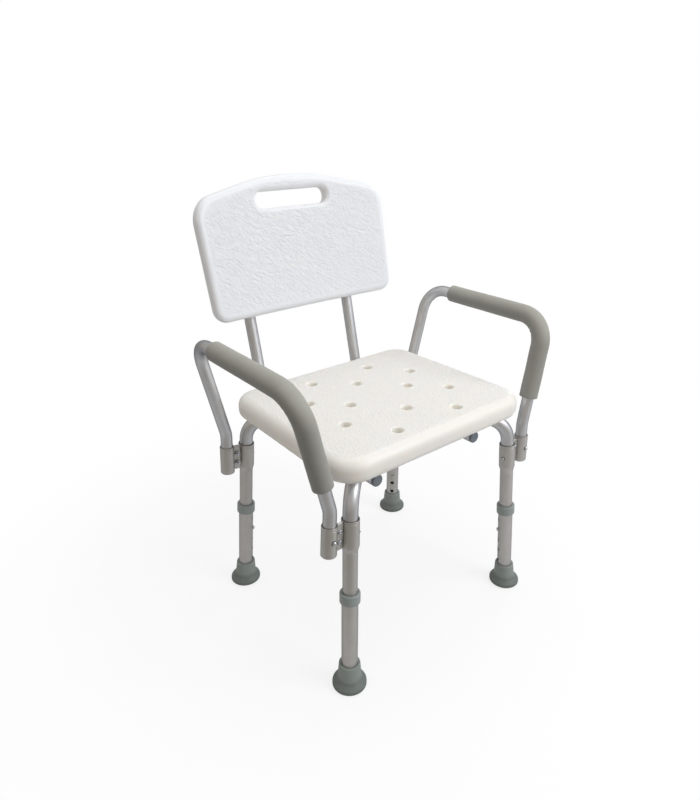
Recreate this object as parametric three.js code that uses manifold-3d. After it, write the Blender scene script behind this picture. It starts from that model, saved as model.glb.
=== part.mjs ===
// Shower chair: blow-moulded seat and backrest, crossed aluminium frame tubes,
// telescopic legs with snap buttons, and lift-out padded armrests.
// Millimetres, +Z up, front of the chair towards -Y, floor at Z = 0.
import * as THREE from 'three';
import * as BufferGeometryUtils from 'three/addons/utils/BufferGeometryUtils.js';
import Module from 'manifold-3d';

// ---------------------------------------------------------------- driving dimensions
const GAP = 0.3; // clearance kept between pieces that touch
const OVERCUT = 2; // how far a cutting solid reaches past the face it opens

const LEG = {
  footX: 213, // foot centres, half the spread across the chair
  footY: 179.5, // and from front to back
  splay: 0.055, // inward lean per millimetre of height, the same both ways
  sides: 12,
  lowerRadius: 14.3,
  lowerBore: 13.0,
  lowerBottom: 11,
  lowerTop: 190,
  upperRadius: 12.7,
  upperBore: 11.3,
  upperBottom: 98,
  swageBottom: 275,
  swageTop: 285,
  sleeveRadius: 15.2,
  sleeveBore: 13.9,
  sleeveTop: 333.5,
  holePitch: 25.4,
  holeFirst: 58,
  holeCount: 5,
  buttonHole: 3, // the hole that the button sits in, counted from the lowest
};

const COLLAR = {
  radius: 17.7,
  bottom: 175.4,
  top: 194.5,
  chamfer: 1.6,
  lowerChamfer: 0.6,
};

const FOOT = {
  flangeRadius: 30.3,
  flangeTop: 9,
  shoulderRadius: 26.8,
  shoulderHeight: 13,
  neckRadius: 22.7,
  neckHeight: 17,
  waistRadius: 20.5,
  waistHeight: 24,
  cupRadius: 18.8,
  height: 47,
  floor: 9.5,
  soleChamfer: 1.5,
  rimChamfer: 1,
};

const BUTTON = {
  radius: 3.8,
  holeRadius: 4.4,
  holeFrom: 5, // inner end of a hole's cutter, measured from the tube's axis
  flange: 5.2,
  flangeThickness: 1,
  dome: 1.8,
  shoulder: 0.7, // share of the radius left where the dome has risen most of its height
  stand: 3.4, // how far a tip stands proud of the outer tube
  sides: 8,
};

const CLIP = {
  thickness: 0.8,
  width: 7,
  length: 34,
  pad: 5, // half the length of the flat part under the button
  footHeight: 2, // lower end of the far leaf
  bendShare: 0.4, // share of the thickness that shapes the inside of the bend
};

const CROSS = {
  radius: 12.7,
  bore: 11.2,
  height: 386, // centre line under the seat
  bend: 48,
  end: 287, // lower end, inside the leg sleeve
  sides: 12,
  bendSteps: 5,
  lapHalf: 20, // half the length of the half-lap where the tubes cross
  wall: 1.5,
  lapReach: 20, // how far the half-lap's cutters reach from the centre line
  grooveSides: 16, // sides of the round cutters that make room for a tube
  buttonHeight: 306,
  buttonSwing: 8, // degrees by which the sleeve buttons turn from straight inward
};

const SEAT = {
  top: 438.2,
  thickness: 43.1,
  front: -179.2,
  rear: 175.7,
  frontHalf: 220.9,
  rearHalf: 213.1,
  frontCorner: 51.8,
  rearCorner: 43.7,
  topEdge: 20,
  bottomEdge: 16,
  wall: 3,
  holeRadius: 10,
  holeLip: 2.5,
  holeSides: 8,
  ventRadius: 3,
  ventY: 20,
  ventSides: 8,
  bossSides: 12,
  cornerSteps: 5,
  edgeSteps: 3,
  hollowSteps: 2,
};
// drain holes: distance from the centre line, and place from front to back
const DRAINS = [
  [69, 112.6],
  [0, 61],
  [125, 44],
  [70, -6.3],
  [126, -62],
  [0, -79],
  [71, -132.7],
];

const BACK = {
  lean: 0.229, // backward lean per millimetre of height
  bottomY: 209.5, // front face at its lower edge
  bottomZ: 560.5,
  bottomHalf: 210,
  topHalf: 215,
  shoulder: 216, // height of the side's upper corner above the lower edge
  crownHalf: 60,
  crown: 253,
  thickness: 27.3,
  bow: 14, // forward bow of the panel at the reference half width
  bowHalf: 200,
  edge: 11,
  wall: 3,
  lowerCorner: 26.5,
  upperCorner: 50,
  crownBend: 430,
  slotHalf: 82,
  slotLow: 194,
  slotHigh: 225,
  slotCorner: 14,
  slotLip: 8,
  screwHeights: [45, 140],
  bossRadius: 9,
  bossSides: 12,
  bossGap: 4, // the bosses end this much short of the tube's axis
  coreWall: 3, // wall round each screw hole inside the panel
  coreSides: 10,
  coreFloor: 5, // depth at which the solid round each screw hole starts
  screwTip: 9, // depth at which each screw hole ends
  cradleLength: 300,
  cornerSteps: 4,
  slotCornerSteps: 3,
  edgeSteps: 3,
  hollowSteps: 2,
  longestEdge: 76, // a longer straight edge is split, so that it follows the bow
  longestSlotEdge: 50,
};

const BACK_TUBE = {
  radius: 11.1,
  bore: 9.7,
  x: 120,
  offset: 36.7, // axis behind the panel's front face
  top: 172, // upper end, above the panel's lower edge
  bend: 50,
  front: -136,
  sides: 12,
  bendSteps: 5,
};

const PLUG = {
  stem: 12, // length inside the tube
  stemChamfer: 0.6,
  tipLength: 1,
  cap: 5,
  crown: [[1, 0.5], [0.86, 0.85], [0.6, 1]], // shares of the radius at shares of the cap's height
};

const ARM = {
  radius: 11.1,
  bore: 9.6,
  sides: 10,
  bendSteps: 4,
  socketOffset: 41.8, // socket axis outboard of the leg axis
  socketY: 161.5,
  socketHeight: 309.8,
  socketRadius: 13.2,
  socketBore: 11.9,
  socketBelow: 29.5,
  socketAbove: 26.3,
  socketLip: 8.5,
  socketChamfer: 1,
  lipThickness: 2,
  kneeHeight: 361.5,
  kneeBend: 60,
  topX: 280.5,
  topY: 153.5,
  topZ: 563,
  topBend: 53,
  padRadius: 17.5,
  padFront: { left: 409, right: 415 }, // height of each pad's lower end on the front leg
  padRear: { left: 81, right: 84 }, // place of its other end on the top bar
};

const FIN = {
  top: 23,
  bottom: -27,
  thickness: 2,
  clearance: 0.5, // kept between a fin's edge and the tube it is not part of
  boltHeights: { lower: -12.5, upper: 7 },
};

const BOLT = {
  shank: 2.4,
  hole: 2.8,
  head: 4.5,
  headHeight: 2.6,
  crown: 0.85, // share of the head's radius left where it rounds over
  crownAt: 0.7, // share of the head's height where that is
  length: 10,
  sides: 6,
};

const SEAT_BOLT = {
  shank: 3,
  hole: 3.4,
  head: 5.2,
  headHeight: 3.4,
  crown: 0.8,
  crownAt: 0.3,
  top: 416,
  boss: 7.5,
  holeLow: 330, // the holes through the tubes run between these heights
  holeHigh: 420,
  sides: 8,
};

const ROUNDING = 0.3; // a rounded rim has lost this share of its width at this share of its depth

// ---------------------------------------------------------------- finishes
const FINISH = {
  seat: { color: 0xecece6, roughness: 0.55, metalness: 0 },
  backrest: { color: 0xe4e7ea, roughness: 0.5, metalness: 0 },
  aluminium: { color: 0xa9a6a1, roughness: 0.38, metalness: 0.85 },
  anodised: { color: 0x94928e, roughness: 0.5, metalness: 0.7 },
  rubber: { color: 0x5f6967, roughness: 0.8, metalness: 0 },
  collar: { color: 0x6e787a, roughness: 0.5, metalness: 0 },
  foam: { color: 0x8f8d84, roughness: 0.9, metalness: 0 },
  plug: { color: 0x737a82, roughness: 0.5, metalness: 0 },
  zinc: { color: 0xc4c6c8, roughness: 0.25, metalness: 1 },
  spring: { color: 0x8a8c90, roughness: 0.35, metalness: 1 },
};

// ---------------------------------------------------------------- solids
const wasm = await Module();
wasm.setup();

// Six times the signed volume tells which way the faces point.
function signedVolume(positions, index) {
  const [a, b, c] = [new THREE.Vector3(), new THREE.Vector3(), new THREE.Vector3()];
  let total = 0;
  for (let i = 0; i < index.length; i += 3) {
    a.fromArray(positions, 3 * index[i]);
    b.fromArray(positions, 3 * index[i + 1]);
    c.fromArray(positions, 3 * index[i + 2]);
    total += a.dot(b.cross(c));
  }
  return total;
}

function toSolid(geometry) {
  const bare = geometry.clone();
  bare.deleteAttribute('normal');
  bare.deleteAttribute('uv');
  const merged = BufferGeometryUtils.mergeVertices(bare, 1e-3);
  const positions = merged.getAttribute('position').array;
  const source = merged.getIndex().array;
  const kept = [];
  for (let i = 0; i < source.length; i += 3) {
    const [a, b, c] = [source[i], source[i + 1], source[i + 2]];
    if (a !== b && b !== c && c !== a) kept.push(a, b, c);
  }
  if (signedVolume(positions, kept) < 0) kept.reverse();
  const mesh = new wasm.Mesh({
    numProp: 3,
    vertProperties: new Float32Array(positions),
    triVerts: new Uint32Array(kept),
  });
  return new wasm.Manifold(mesh);
}

function toGeometry(solid) {
  const mesh = solid.getMesh();
  const geometry = new THREE.BufferGeometry();
  geometry.setAttribute('position', new THREE.BufferAttribute(mesh.vertProperties, 3));
  geometry.setIndex(new THREE.BufferAttribute(mesh.triVerts, 1));
  geometry.computeVertexNormals();
  return geometry;
}

function lathe(profile, sides) {
  const points = profile.map(([radius, height]) => new THREE.Vector2(radius, height));
  return toSolid(new THREE.LatheGeometry(points, sides).rotateX(Math.PI / 2));
}

function ringProfile(outline) {
  return [...outline, outline[0]];
}

// A straight rod along +Z between two heights.
function rod(radius, low, high, sides) {
  const geometry = new THREE.CylinderGeometry(radius, radius, high - low, sides);
  return toSolid(geometry.rotateX(Math.PI / 2).translate(0, 0, (low + high) / 2));
}

function block(low, high) {
  const size = high.map((value, axis) => Math.abs(value - low[axis]));
  const middle = high.map((value, axis) => (value + low[axis]) / 2);
  return toSolid(new THREE.BoxGeometry(...size).translate(...middle));
}

// Turn a solid so that its +Z points along a direction, then put its origin at a point.
function aim(solid, direction, origin = new THREE.Vector3()) {
  const turn = new THREE.Quaternion().setFromUnitVectors(new THREE.Vector3(0, 0, 1), direction);
  const matrix = new THREE.Matrix4().compose(origin, turn, new THREE.Vector3(1, 1, 1));
  return solid.transform(matrix.elements);
}

function joined(solids) {
  return solids.reduce((whole, part) => whole.add(part));
}

// ---------------------------------------------------------------- outlines
function insetCorners(corners, inset) {
  const count = corners.length;
  const edges = corners.map((corner, i) => {
    const along = corners[(i + 1) % count].clone().sub(corner).normalize();
    const inward = new THREE.Vector2(-along.y, along.x);
    return { start: corner.clone().addScaledVector(inward, inset), along };
  });
  return edges.map((edge, i) => {
    const before = edges[(i + count - 1) % count];
    const across = edge.start.clone().sub(before.start);
    const scale = across.cross(edge.along) / before.along.cross(edge.along);
    return before.start.clone().addScaledVector(before.along, scale);
  });
}

// A convex outline, anticlockwise, with each corner rounded, moved inwards by an inset.
function roundedOutline(corners, radii, inset, arcSteps) {
  const moved = insetCorners(corners, inset);
  const points = [];
  moved.forEach((corner, i) => {
    const before = moved[(i + moved.length - 1) % moved.length].clone().sub(corner).normalize();
    const after = moved[(i + 1) % moved.length].clone().sub(corner).normalize();
    const radius = Math.max(radii[i] - inset, 1);
    const half = Math.acos(THREE.MathUtils.clamp(before.dot(after), -1, 1)) / 2;
    const middle = before.clone().add(after).normalize();
    const centre = corner.clone().addScaledVector(middle, radius / Math.sin(half));
    const start = corner.clone().addScaledVector(before, radius / Math.tan(half)).sub(centre);
    for (let step = 0; step <= arcSteps; step += 1) {
      const angle = ((Math.PI - 2 * half) * step) / arcSteps;
      points.push(start.clone().rotateAround(new THREE.Vector2(), angle).add(centre));
    }
  });
  return points;
}

// Triangles over a convex ring, zipped from its least X to its greatest, so that they follow a bow.
function zippedCap(ring) {
  const count = ring.length;
  const byX = ring.map((point, i) => [point.x, i]).sort((one, other) => one[0] - other[0]);
  const [start, end] = [byX[0][1], byX.at(-1)[1]];
  const triangles = [];
  let [lower, upper] = [start, start];
  while (lower !== end || upper !== end) {
    const nextLower = (lower + 1) % count;
    const nextUpper = (upper + count - 1) % count;
    const takeLower = upper === end || (lower !== end && ring[nextLower].x <= ring[nextUpper].x);
    const next = takeLower ? nextLower : nextUpper;
    if (lower !== upper && next !== lower && next !== upper) triangles.push([lower, next, upper]);
    if (takeLower) lower = next;
    else upper = next;
  }
  return triangles;
}

// A closed body through rings of equal length.
function loft(rings) {
  const count = rings[0].length;
  const index = [];
  for (let ring = 0; ring + 1 < rings.length; ring += 1) {
    for (let i = 0; i < count; i += 1) {
      const [a, b] = [ring * count + i, ring * count + ((i + 1) % count)];
      index.push(a, b, b + count, a, b + count, a + count);
    }
  }
  const last = (rings.length - 1) * count;
  zippedCap(rings[0]).forEach(([a, b, c]) => index.push(c, b, a));
  zippedCap(rings.at(-1)).forEach(([a, b, c]) => index.push(last + a, last + b, last + c));
  const positions = rings.flat().flatMap((point) => point.toArray());
  const geometry = new THREE.BufferGeometry();
  geometry.setAttribute('position', new THREE.BufferAttribute(new Float32Array(positions), 3));
  geometry.setIndex(index);
  return toSolid(geometry);
}

// Inset and level of each ring of a slab with quarter-round edges.
function slabLevels(low, high, lowEdge, highEdge, steps) {
  const levels = [];
  for (let step = 0; step <= steps; step += 1) {
    const angle = (Math.PI / 2) * (step / steps);
    levels.push([lowEdge * (1 - Math.sin(angle)), low + lowEdge * (1 - Math.cos(angle))]);
  }
  for (let step = 0; step <= steps; step += 1) {
    const angle = (Math.PI / 2) * (step / steps);
    levels.push([highEdge * (1 - Math.cos(angle)), high - highEdge * (1 - Math.sin(angle))]);
  }
  return levels;
}

// ---------------------------------------------------------------- bent tubes
// A path held as stations, so that bends get close rings and straights none between.
class StationCurve extends THREE.Curve {
  constructor(stations) {
    super();
    this.stations = stations;
  }

  at(share) {
    return this.stations[Math.round(share * (this.stations.length - 1))];
  }

  getPointAt(share) {
    return this.at(share).point.clone();
  }

  getTangentAt(share) {
    return this.at(share).tangent.clone();
  }
}

function bentPath(corners, radii, arcSteps) {
  const first = corners[1].clone().sub(corners[0]).normalize();
  const stations = [{ point: corners[0], tangent: first }];
  for (let i = 1; i + 1 < corners.length; i += 1) {
    const before = corners[i - 1].clone().sub(corners[i]).normalize();
    const after = corners[i + 1].clone().sub(corners[i]).normalize();
    const half = before.angleTo(after) / 2;
    const radius = radii[i - 1];
    const middle = before.clone().add(after).normalize();
    const centre = corners[i].clone().addScaledVector(middle, radius / Math.sin(half));
    const spoke = corners[i].clone().addScaledVector(before, radius / Math.tan(half)).sub(centre);
    const hinge = spoke.clone().cross(before).normalize().negate();
    for (let step = 0; step <= arcSteps; step += 1) {
      const angle = ((Math.PI - 2 * half) * step) / arcSteps;
      const turned = spoke.clone().applyAxisAngle(hinge, angle);
      const tangent = before.clone().negate().applyAxisAngle(hinge, angle);
      stations.push({ point: turned.add(centre), tangent });
    }
  }
  const last = corners.at(-1).clone().sub(corners.at(-2)).normalize();
  stations.push({ point: corners.at(-1), tangent: last });
  return stations;
}

function circleOutline(radius, sides) {
  return Array.from({ length: sides }, (_, i) => {
    const angle = (2 * Math.PI * i) / sides;
    return new THREE.Vector2(radius * Math.cos(angle), radius * Math.sin(angle));
  });
}

function sweep(stations, radius, bore, sides) {
  const shape = new THREE.Shape(circleOutline(radius, sides));
  if (bore > 0) shape.holes.push(new THREE.Path(circleOutline(bore, sides).reverse()));
  const settings = {
    steps: stations.length - 1,
    bevelEnabled: false,
    extrudePath: new StationCurve(stations),
  };
  return toSolid(new THREE.ExtrudeGeometry(shape, settings));
}

// ---------------------------------------------------------------- scene graph helpers
const chair = new THREE.Group();

function addPiece(parent, name, solid, finish) {
  const material = new THREE.MeshStandardMaterial(FINISH[finish]);
  const mesh = new THREE.Mesh(toGeometry(solid), material);
  mesh.name = name;
  parent.add(mesh);
}

// legTurn: degrees by which a leg's row of holes is turned from facing the middle of the chair
const CORNERS = [
  { name: 'front_left', sx: -1, sy: -1, legTurn: 0 },
  { name: 'front_right', sx: 1, sy: -1, legTurn: 12 },
  { name: 'rear_left', sx: -1, sy: 1, legTurn: 0 },
  { name: 'rear_right', sx: 1, sy: 1, legTurn: 0 },
];

function legPoint({ sx, sy }, height) {
  const reach = LEG.splay * height;
  return new THREE.Vector3(sx * (LEG.footX - reach), sy * (LEG.footY - reach), height);
}

function legAxis(corner) {
  return legPoint(corner, 1).sub(legPoint(corner, 0)).normalize();
}

// ---------------------------------------------------------------- snap buttons and clips
// Distance from a tube's axis to the outer face of a button's flange, which clears the faceted bore.
function flangeSeat(tubeBore) {
  const clear = tubeBore * Math.cos(Math.PI / ARM.sides);
  return Math.sqrt(clear ** 2 - BUTTON.flange ** 2) - GAP;
}

// A domed button along +X, its flange behind the wall of the inner tube.
function snapButton(tubeBore, tip) {
  const seatAt = flangeSeat(tubeBore);
  const profile = [
    [0, seatAt - BUTTON.flangeThickness],
    [BUTTON.flange, seatAt - BUTTON.flangeThickness],
    [BUTTON.flange, seatAt],
    [BUTTON.radius, seatAt],
    [BUTTON.radius, tip - BUTTON.dome],
    [BUTTON.radius * BUTTON.shoulder, tip - BUTTON.dome * ROUNDING],
    [0, tip],
  ];
  return lathe(profile, BUTTON.sides).rotate([0, 90, 0]);
}

function buttonHole(tubeRadius) {
  const hole = rod(BUTTON.holeRadius, BUTTON.holeFrom, tubeRadius + OVERCUT, BUTTON.sides);
  return hole.rotate([0, 90, 0]);
}

// The V-shaped spring clip: one leaf under the button, the other on the far wall.
function springClip(tubeBore) {
  const near = flangeSeat(tubeBore) - BUTTON.flangeThickness - GAP - CLIP.thickness;
  const far = GAP - Math.sqrt(tubeBore ** 2 - (CLIP.width / 2) ** 2);
  const { thickness, width, length, pad, footHeight, bendShare } = CLIP;
  const outline = [
    [near, -pad],
    [near + thickness, -pad],
    [near + thickness, pad],
    [thickness, length],
    [-thickness, length],
    [far, footHeight],
    [far + thickness, footHeight],
    [-thickness * bendShare, length - footHeight],
    [thickness * bendShare, length - footHeight],
    [near, pad - thickness / 2],
  ];
  const shape = new THREE.Shape(outline.map(([x, z]) => new THREE.Vector2(x, z)));
  const geometry = new THREE.ExtrudeGeometry(shape, { depth: width, bevelEnabled: false });
  return toSolid(geometry.rotateX(Math.PI / 2).translate(0, width / 2, 0));
}

// ---------------------------------------------------------------- legs
const inwardTurn = ({ sx, sy, legTurn }) =>
  THREE.MathUtils.radToDeg(Math.atan2(-sy, -sx)) + legTurn;
const sleeveTurn = ({ sx, sy }) => {
  const swing = THREE.MathUtils.degToRad(CROSS.buttonSwing);
  return THREE.MathUtils.radToDeg(Math.atan2(sy * Math.sin(swing), -sx * Math.cos(swing)));
};
const HEIGHT_BUTTON_Z = LEG.holeFirst + LEG.buttonHole * LEG.holePitch;

function lowerLeg(corner) {
  const tube = lathe(
    ringProfile([
      [LEG.lowerBore, LEG.lowerBottom],
      [LEG.lowerRadius, LEG.lowerBottom],
      [LEG.lowerRadius, LEG.lowerTop],
      [LEG.lowerBore, LEG.lowerTop],
    ]),
    LEG.sides,
  );
  const holes = Array.from({ length: LEG.holeCount }, (_, i) =>
    buttonHole(LEG.lowerRadius)
      .translate([0, 0, LEG.holeFirst + i * LEG.holePitch])
      .rotate([0, 0, inwardTurn(corner)]),
  );
  return tube.subtract(joined(holes));
}

function sleeveHole(corner) {
  return buttonHole(LEG.sleeveRadius)
    .translate([0, 0, CROSS.buttonHeight])
    .rotate([0, 0, sleeveTurn(corner)]);
}

function upperLeg(corner) {
  const tube = lathe(
    ringProfile([
      [LEG.upperBore, LEG.upperBottom],
      [LEG.upperRadius, LEG.upperBottom],
      [LEG.upperRadius, LEG.swageBottom],
      [LEG.sleeveRadius, LEG.swageTop],
      [LEG.sleeveRadius, LEG.sleeveTop],
      [LEG.sleeveBore, LEG.sleeveTop],
      [LEG.sleeveBore, LEG.swageTop],
      [LEG.upperBore, LEG.swageBottom],
    ]),
    LEG.sides,
  );
  const heightHole = buttonHole(LEG.lowerRadius)
    .translate([0, 0, HEIGHT_BUTTON_Z])
    .rotate([0, 0, inwardTurn(corner)]);
  return tube.subtract(heightHole).subtract(sleeveHole(corner));
}

function collar() {
  const profile = ringProfile([
    [LEG.lowerRadius + GAP, COLLAR.bottom],
    [COLLAR.radius - COLLAR.lowerChamfer, COLLAR.bottom],
    [COLLAR.radius, COLLAR.bottom + COLLAR.lowerChamfer],
    [COLLAR.radius, COLLAR.top - COLLAR.chamfer],
    [COLLAR.radius - COLLAR.chamfer, COLLAR.top],
    [LEG.lowerBore, COLLAR.top],
    [LEG.lowerBore, LEG.lowerTop + GAP],
    [LEG.lowerRadius + GAP, LEG.lowerTop + GAP],
  ]);
  return lathe(profile, LEG.sides);
}

// The rubber foot stands flat while its cup leans with the leg.
function foot(corner) {
  const bore = LEG.lowerRadius + GAP;
  const profile = [
    [0, 0],
    [FOOT.flangeRadius - FOOT.soleChamfer, 0],
    [FOOT.flangeRadius, FOOT.soleChamfer],
    [FOOT.flangeRadius, FOOT.flangeTop],
    [FOOT.shoulderRadius, FOOT.shoulderHeight],
    [FOOT.neckRadius, FOOT.neckHeight],
    [FOOT.waistRadius, FOOT.waistHeight],
    [FOOT.cupRadius, FOOT.height - FOOT.rimChamfer],
    [FOOT.cupRadius - FOOT.rimChamfer, FOOT.height],
    [bore, FOOT.height],
    [bore, FOOT.floor],
    [0, FOOT.floor],
  ];
  const base = legPoint(corner, 0);
  return lathe(profile, LEG.sides).warp((vertex) => {
    const height = vertex[2];
    vertex[0] += base.x - corner.sx * LEG.splay * height;
    vertex[1] += base.y - corner.sy * LEG.splay * height;
  });
}

function placeLegPiece(solid, corner) {
  return aim(solid, legAxis(corner), legPoint(corner, 0));
}

// ---------------------------------------------------------------- arm sockets and their fins
// The socket leans sideways with the leg but stands upright from front to back,
// so that both ends of an armrest lift out together.
function socketPose({ sx, sy }) {
  const origin = new THREE.Vector3(
    sx * (LEG.footX - LEG.splay * ARM.socketHeight),
    sy * ARM.socketY,
    ARM.socketHeight,
  );
  return { origin, axis: new THREE.Vector3(-sx * LEG.splay, 0, 1).normalize() };
}

function placeSocketPiece(solid, corner) {
  const { origin, axis } = socketPose(corner);
  return aim(solid, axis, origin);
}

const FIN_MIDDLE = (LEG.sleeveRadius + ARM.socketOffset - ARM.socketRadius) / 2;

function finHoles(corner) {
  const reach = FIN.thickness + OVERCUT;
  const holes = Object.values(FIN.boltHeights).map((height) =>
    rod(BOLT.hole, -reach, reach, BOLT.sides)
      .rotate([90, 0, 0])
      .translate([corner.sx * FIN_MIDDLE, 0, height]),
  );
  return joined(holes);
}

function finPlate(corner, from, to, side) {
  const [near, far] = [GAP / 2, GAP / 2 + FIN.thickness];
  const low = [corner.sx * from, corner.sy * side * near, FIN.bottom];
  const high = [corner.sx * to, corner.sy * side * far, FIN.top];
  return block(low, high);
}

function legFin(corner) {
  const tipAt = ARM.socketOffset - ARM.socketRadius - FIN.clearance;
  return finPlate(corner, LEG.sleeveBore, tipAt, -1).subtract(finHoles(corner));
}

function armSocket(corner) {
  const tube = lathe(
    ringProfile([
      [ARM.socketLip, -ARM.socketBelow],
      [ARM.socketRadius - ARM.socketChamfer, -ARM.socketBelow],
      [ARM.socketRadius, ARM.socketChamfer - ARM.socketBelow],
      [ARM.socketRadius, ARM.socketAbove],
      [ARM.socketBore, ARM.socketAbove],
      [ARM.socketBore, ARM.lipThickness - ARM.socketBelow],
      [ARM.socketLip, ARM.lipThickness - ARM.socketBelow],
    ]),
    LEG.sides,
  );
  const hole = buttonHole(ARM.socketRadius).rotate([0, 0, corner.sy * 90]);
  const wallMiddle = (ARM.socketRadius + ARM.socketBore) / 2;
  const edge = LEG.sleeveRadius + FIN.clearance;
  const fin = finPlate(corner, edge, ARM.socketOffset - wallMiddle, 1);
  return tube
    .subtract(hole)
    .translate([corner.sx * ARM.socketOffset, 0, 0])
    .add(fin.subtract(finHoles(corner)));
}

function finBolt() {
  const faceAt = GAP / 2 + FIN.thickness + GAP;
  const profile = [
    [0, -BOLT.length],
    [BOLT.shank, -BOLT.length],
    [BOLT.shank, faceAt],
    [BOLT.head, faceAt],
    [BOLT.head * BOLT.crown, faceAt + BOLT.headHeight * BOLT.crownAt],
    [0, faceAt + BOLT.headHeight],
  ];
  return lathe(profile, BOLT.sides);
}

function placeFinBolt(solid, corner, height) {
  const outward = new THREE.Vector3(0, corner.sy, 0);
  const bolt = aim(solid, outward).translate([corner.sx * FIN_MIDDLE, 0, height]);
  return placeSocketPiece(bolt, corner);
}

// ---------------------------------------------------------------- crossed frame tubes
function crossPath(corner) {
  const opposite = { sx: -corner.sx, sy: -corner.sy };
  const corners = [
    legPoint(corner, CROSS.end),
    legPoint(corner, CROSS.height),
    legPoint(opposite, CROSS.height),
    legPoint(opposite, CROSS.end),
  ];
  return bentPath(corners, [CROSS.bend, CROSS.bend], CROSS.bendSteps);
}

// side is +1 for the tube that keeps its upper half at the crossing, -1 for the lower.
function crossTube(corner, side) {
  const path = crossPath(corner);
  const hollow = sweep(path, CROSS.radius, CROSS.bore, CROSS.sides);
  const full = sweep(path, CROSS.radius, 0, CROSS.sides);
  const across = legPoint(corner, CROSS.height);
  const turn = THREE.MathUtils.radToDeg(Math.atan2(across.y, across.x));
  const reach = CROSS.lapReach;
  const slice = (from, to, near, far) => {
    const levels = [CROSS.height + side * near, CROSS.height + side * far];
    return block([from, -reach, levels[0]], [to, reach, levels[1]]).rotate([0, 0, turn]);
  };
  const face = GAP / 2;
  const lap = CROSS.lapHalf;
  const notch = slice(-lap, lap, face, -reach);
  const flat = slice(-lap, lap, face, face + CROSS.wall);
  const ends = slice(lap, lap + CROSS.wall, face + CROSS.wall, -reach).add(
    slice(-lap - CROSS.wall, -lap, face + CROSS.wall, -reach),
  );
  const walls = flat.add(ends).intersect(full);
  const sleeveHoles = [corner, { sx: -corner.sx, sy: -corner.sy }].map((end) =>
    placeLegPiece(sleeveHole(end), end),
  );
  return hollow.subtract(notch).add(walls).subtract(seatBoltHoles()).subtract(joined(sleeveHoles));
}

// The seat bolts pass where each back tube lies under a frame tube.
function seatBoltPlaces() {
  const corner = legPoint({ sx: 1, sy: 1 }, CROSS.height);
  const y = (BACK_TUBE.x * corner.y) / corner.x;
  return CORNERS.map(({ sx, sy }) => [sx * BACK_TUBE.x, sy * y]);
}

function seatBoltHoles() {
  const { hole, holeLow, holeHigh, sides } = SEAT_BOLT;
  const holes = seatBoltPlaces().map(([x, y]) =>
    rod(hole, holeLow, holeHigh, sides).translate([x, y, 0]),
  );
  return joined(holes);
}

const BACK_TUBE_Z = CROSS.height - CROSS.radius - GAP - BACK_TUBE.radius;

function seatBolt() {
  const faceAt = BACK_TUBE_Z - BACK_TUBE.radius - GAP;
  const profile = [
    [0, faceAt - SEAT_BOLT.headHeight],
    [SEAT_BOLT.head * SEAT_BOLT.crown, faceAt - SEAT_BOLT.headHeight],
    [SEAT_BOLT.head, faceAt - SEAT_BOLT.headHeight * SEAT_BOLT.crownAt],
    [SEAT_BOLT.head, faceAt],
    [SEAT_BOLT.shank, faceAt],
    [SEAT_BOLT.shank, SEAT_BOLT.top],
    [0, SEAT_BOLT.top],
  ];
  return lathe(profile, SEAT_BOLT.sides);
}

// ---------------------------------------------------------------- seat
function seatRings(inset, levels) {
  const corners = [
    new THREE.Vector2(-SEAT.frontHalf, SEAT.front),
    new THREE.Vector2(SEAT.frontHalf, SEAT.front),
    new THREE.Vector2(SEAT.rearHalf, SEAT.rear),
    new THREE.Vector2(-SEAT.rearHalf, SEAT.rear),
  ];
  const radii = [SEAT.frontCorner, SEAT.frontCorner, SEAT.rearCorner, SEAT.rearCorner];
  return levels.map(([edgeInset, height]) =>
    roundedOutline(corners, radii, inset + edgeInset, SEAT.cornerSteps).map(
      ({ x, y }) => new THREE.Vector3(x, y, height),
    ),
  );
}

function drainPlaces() {
  return DRAINS.flatMap(([x, y]) => (x === 0 ? [[x, y]] : [[-x, y], [x, y]]));
}

function drainCutter(low, high) {
  const lip = SEAT.holeLip;
  const radius = SEAT.holeRadius;
  const profile = [
    [0, low - OVERCUT],
    [radius + lip, low - OVERCUT],
    [radius + lip, low],
    [radius, low + lip],
    [radius, high - lip],
    [radius + lip * ROUNDING, high - lip * ROUNDING],
    [radius + lip, high],
    [radius + lip, high + OVERCUT],
    [0, high + OVERCUT],
  ];
  return lathe(profile, SEAT.holeSides);
}

function straightCross(corner, radius) {
  const a = legPoint(corner, CROSS.height);
  const b = legPoint({ sx: -corner.sx, sy: -corner.sy }, CROSS.height);
  const along = b.clone().sub(a);
  const cylinder = rod(radius, 0, along.length(), CROSS.grooveSides);
  return aim(cylinder, along.clone().normalize(), a);
}

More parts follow.
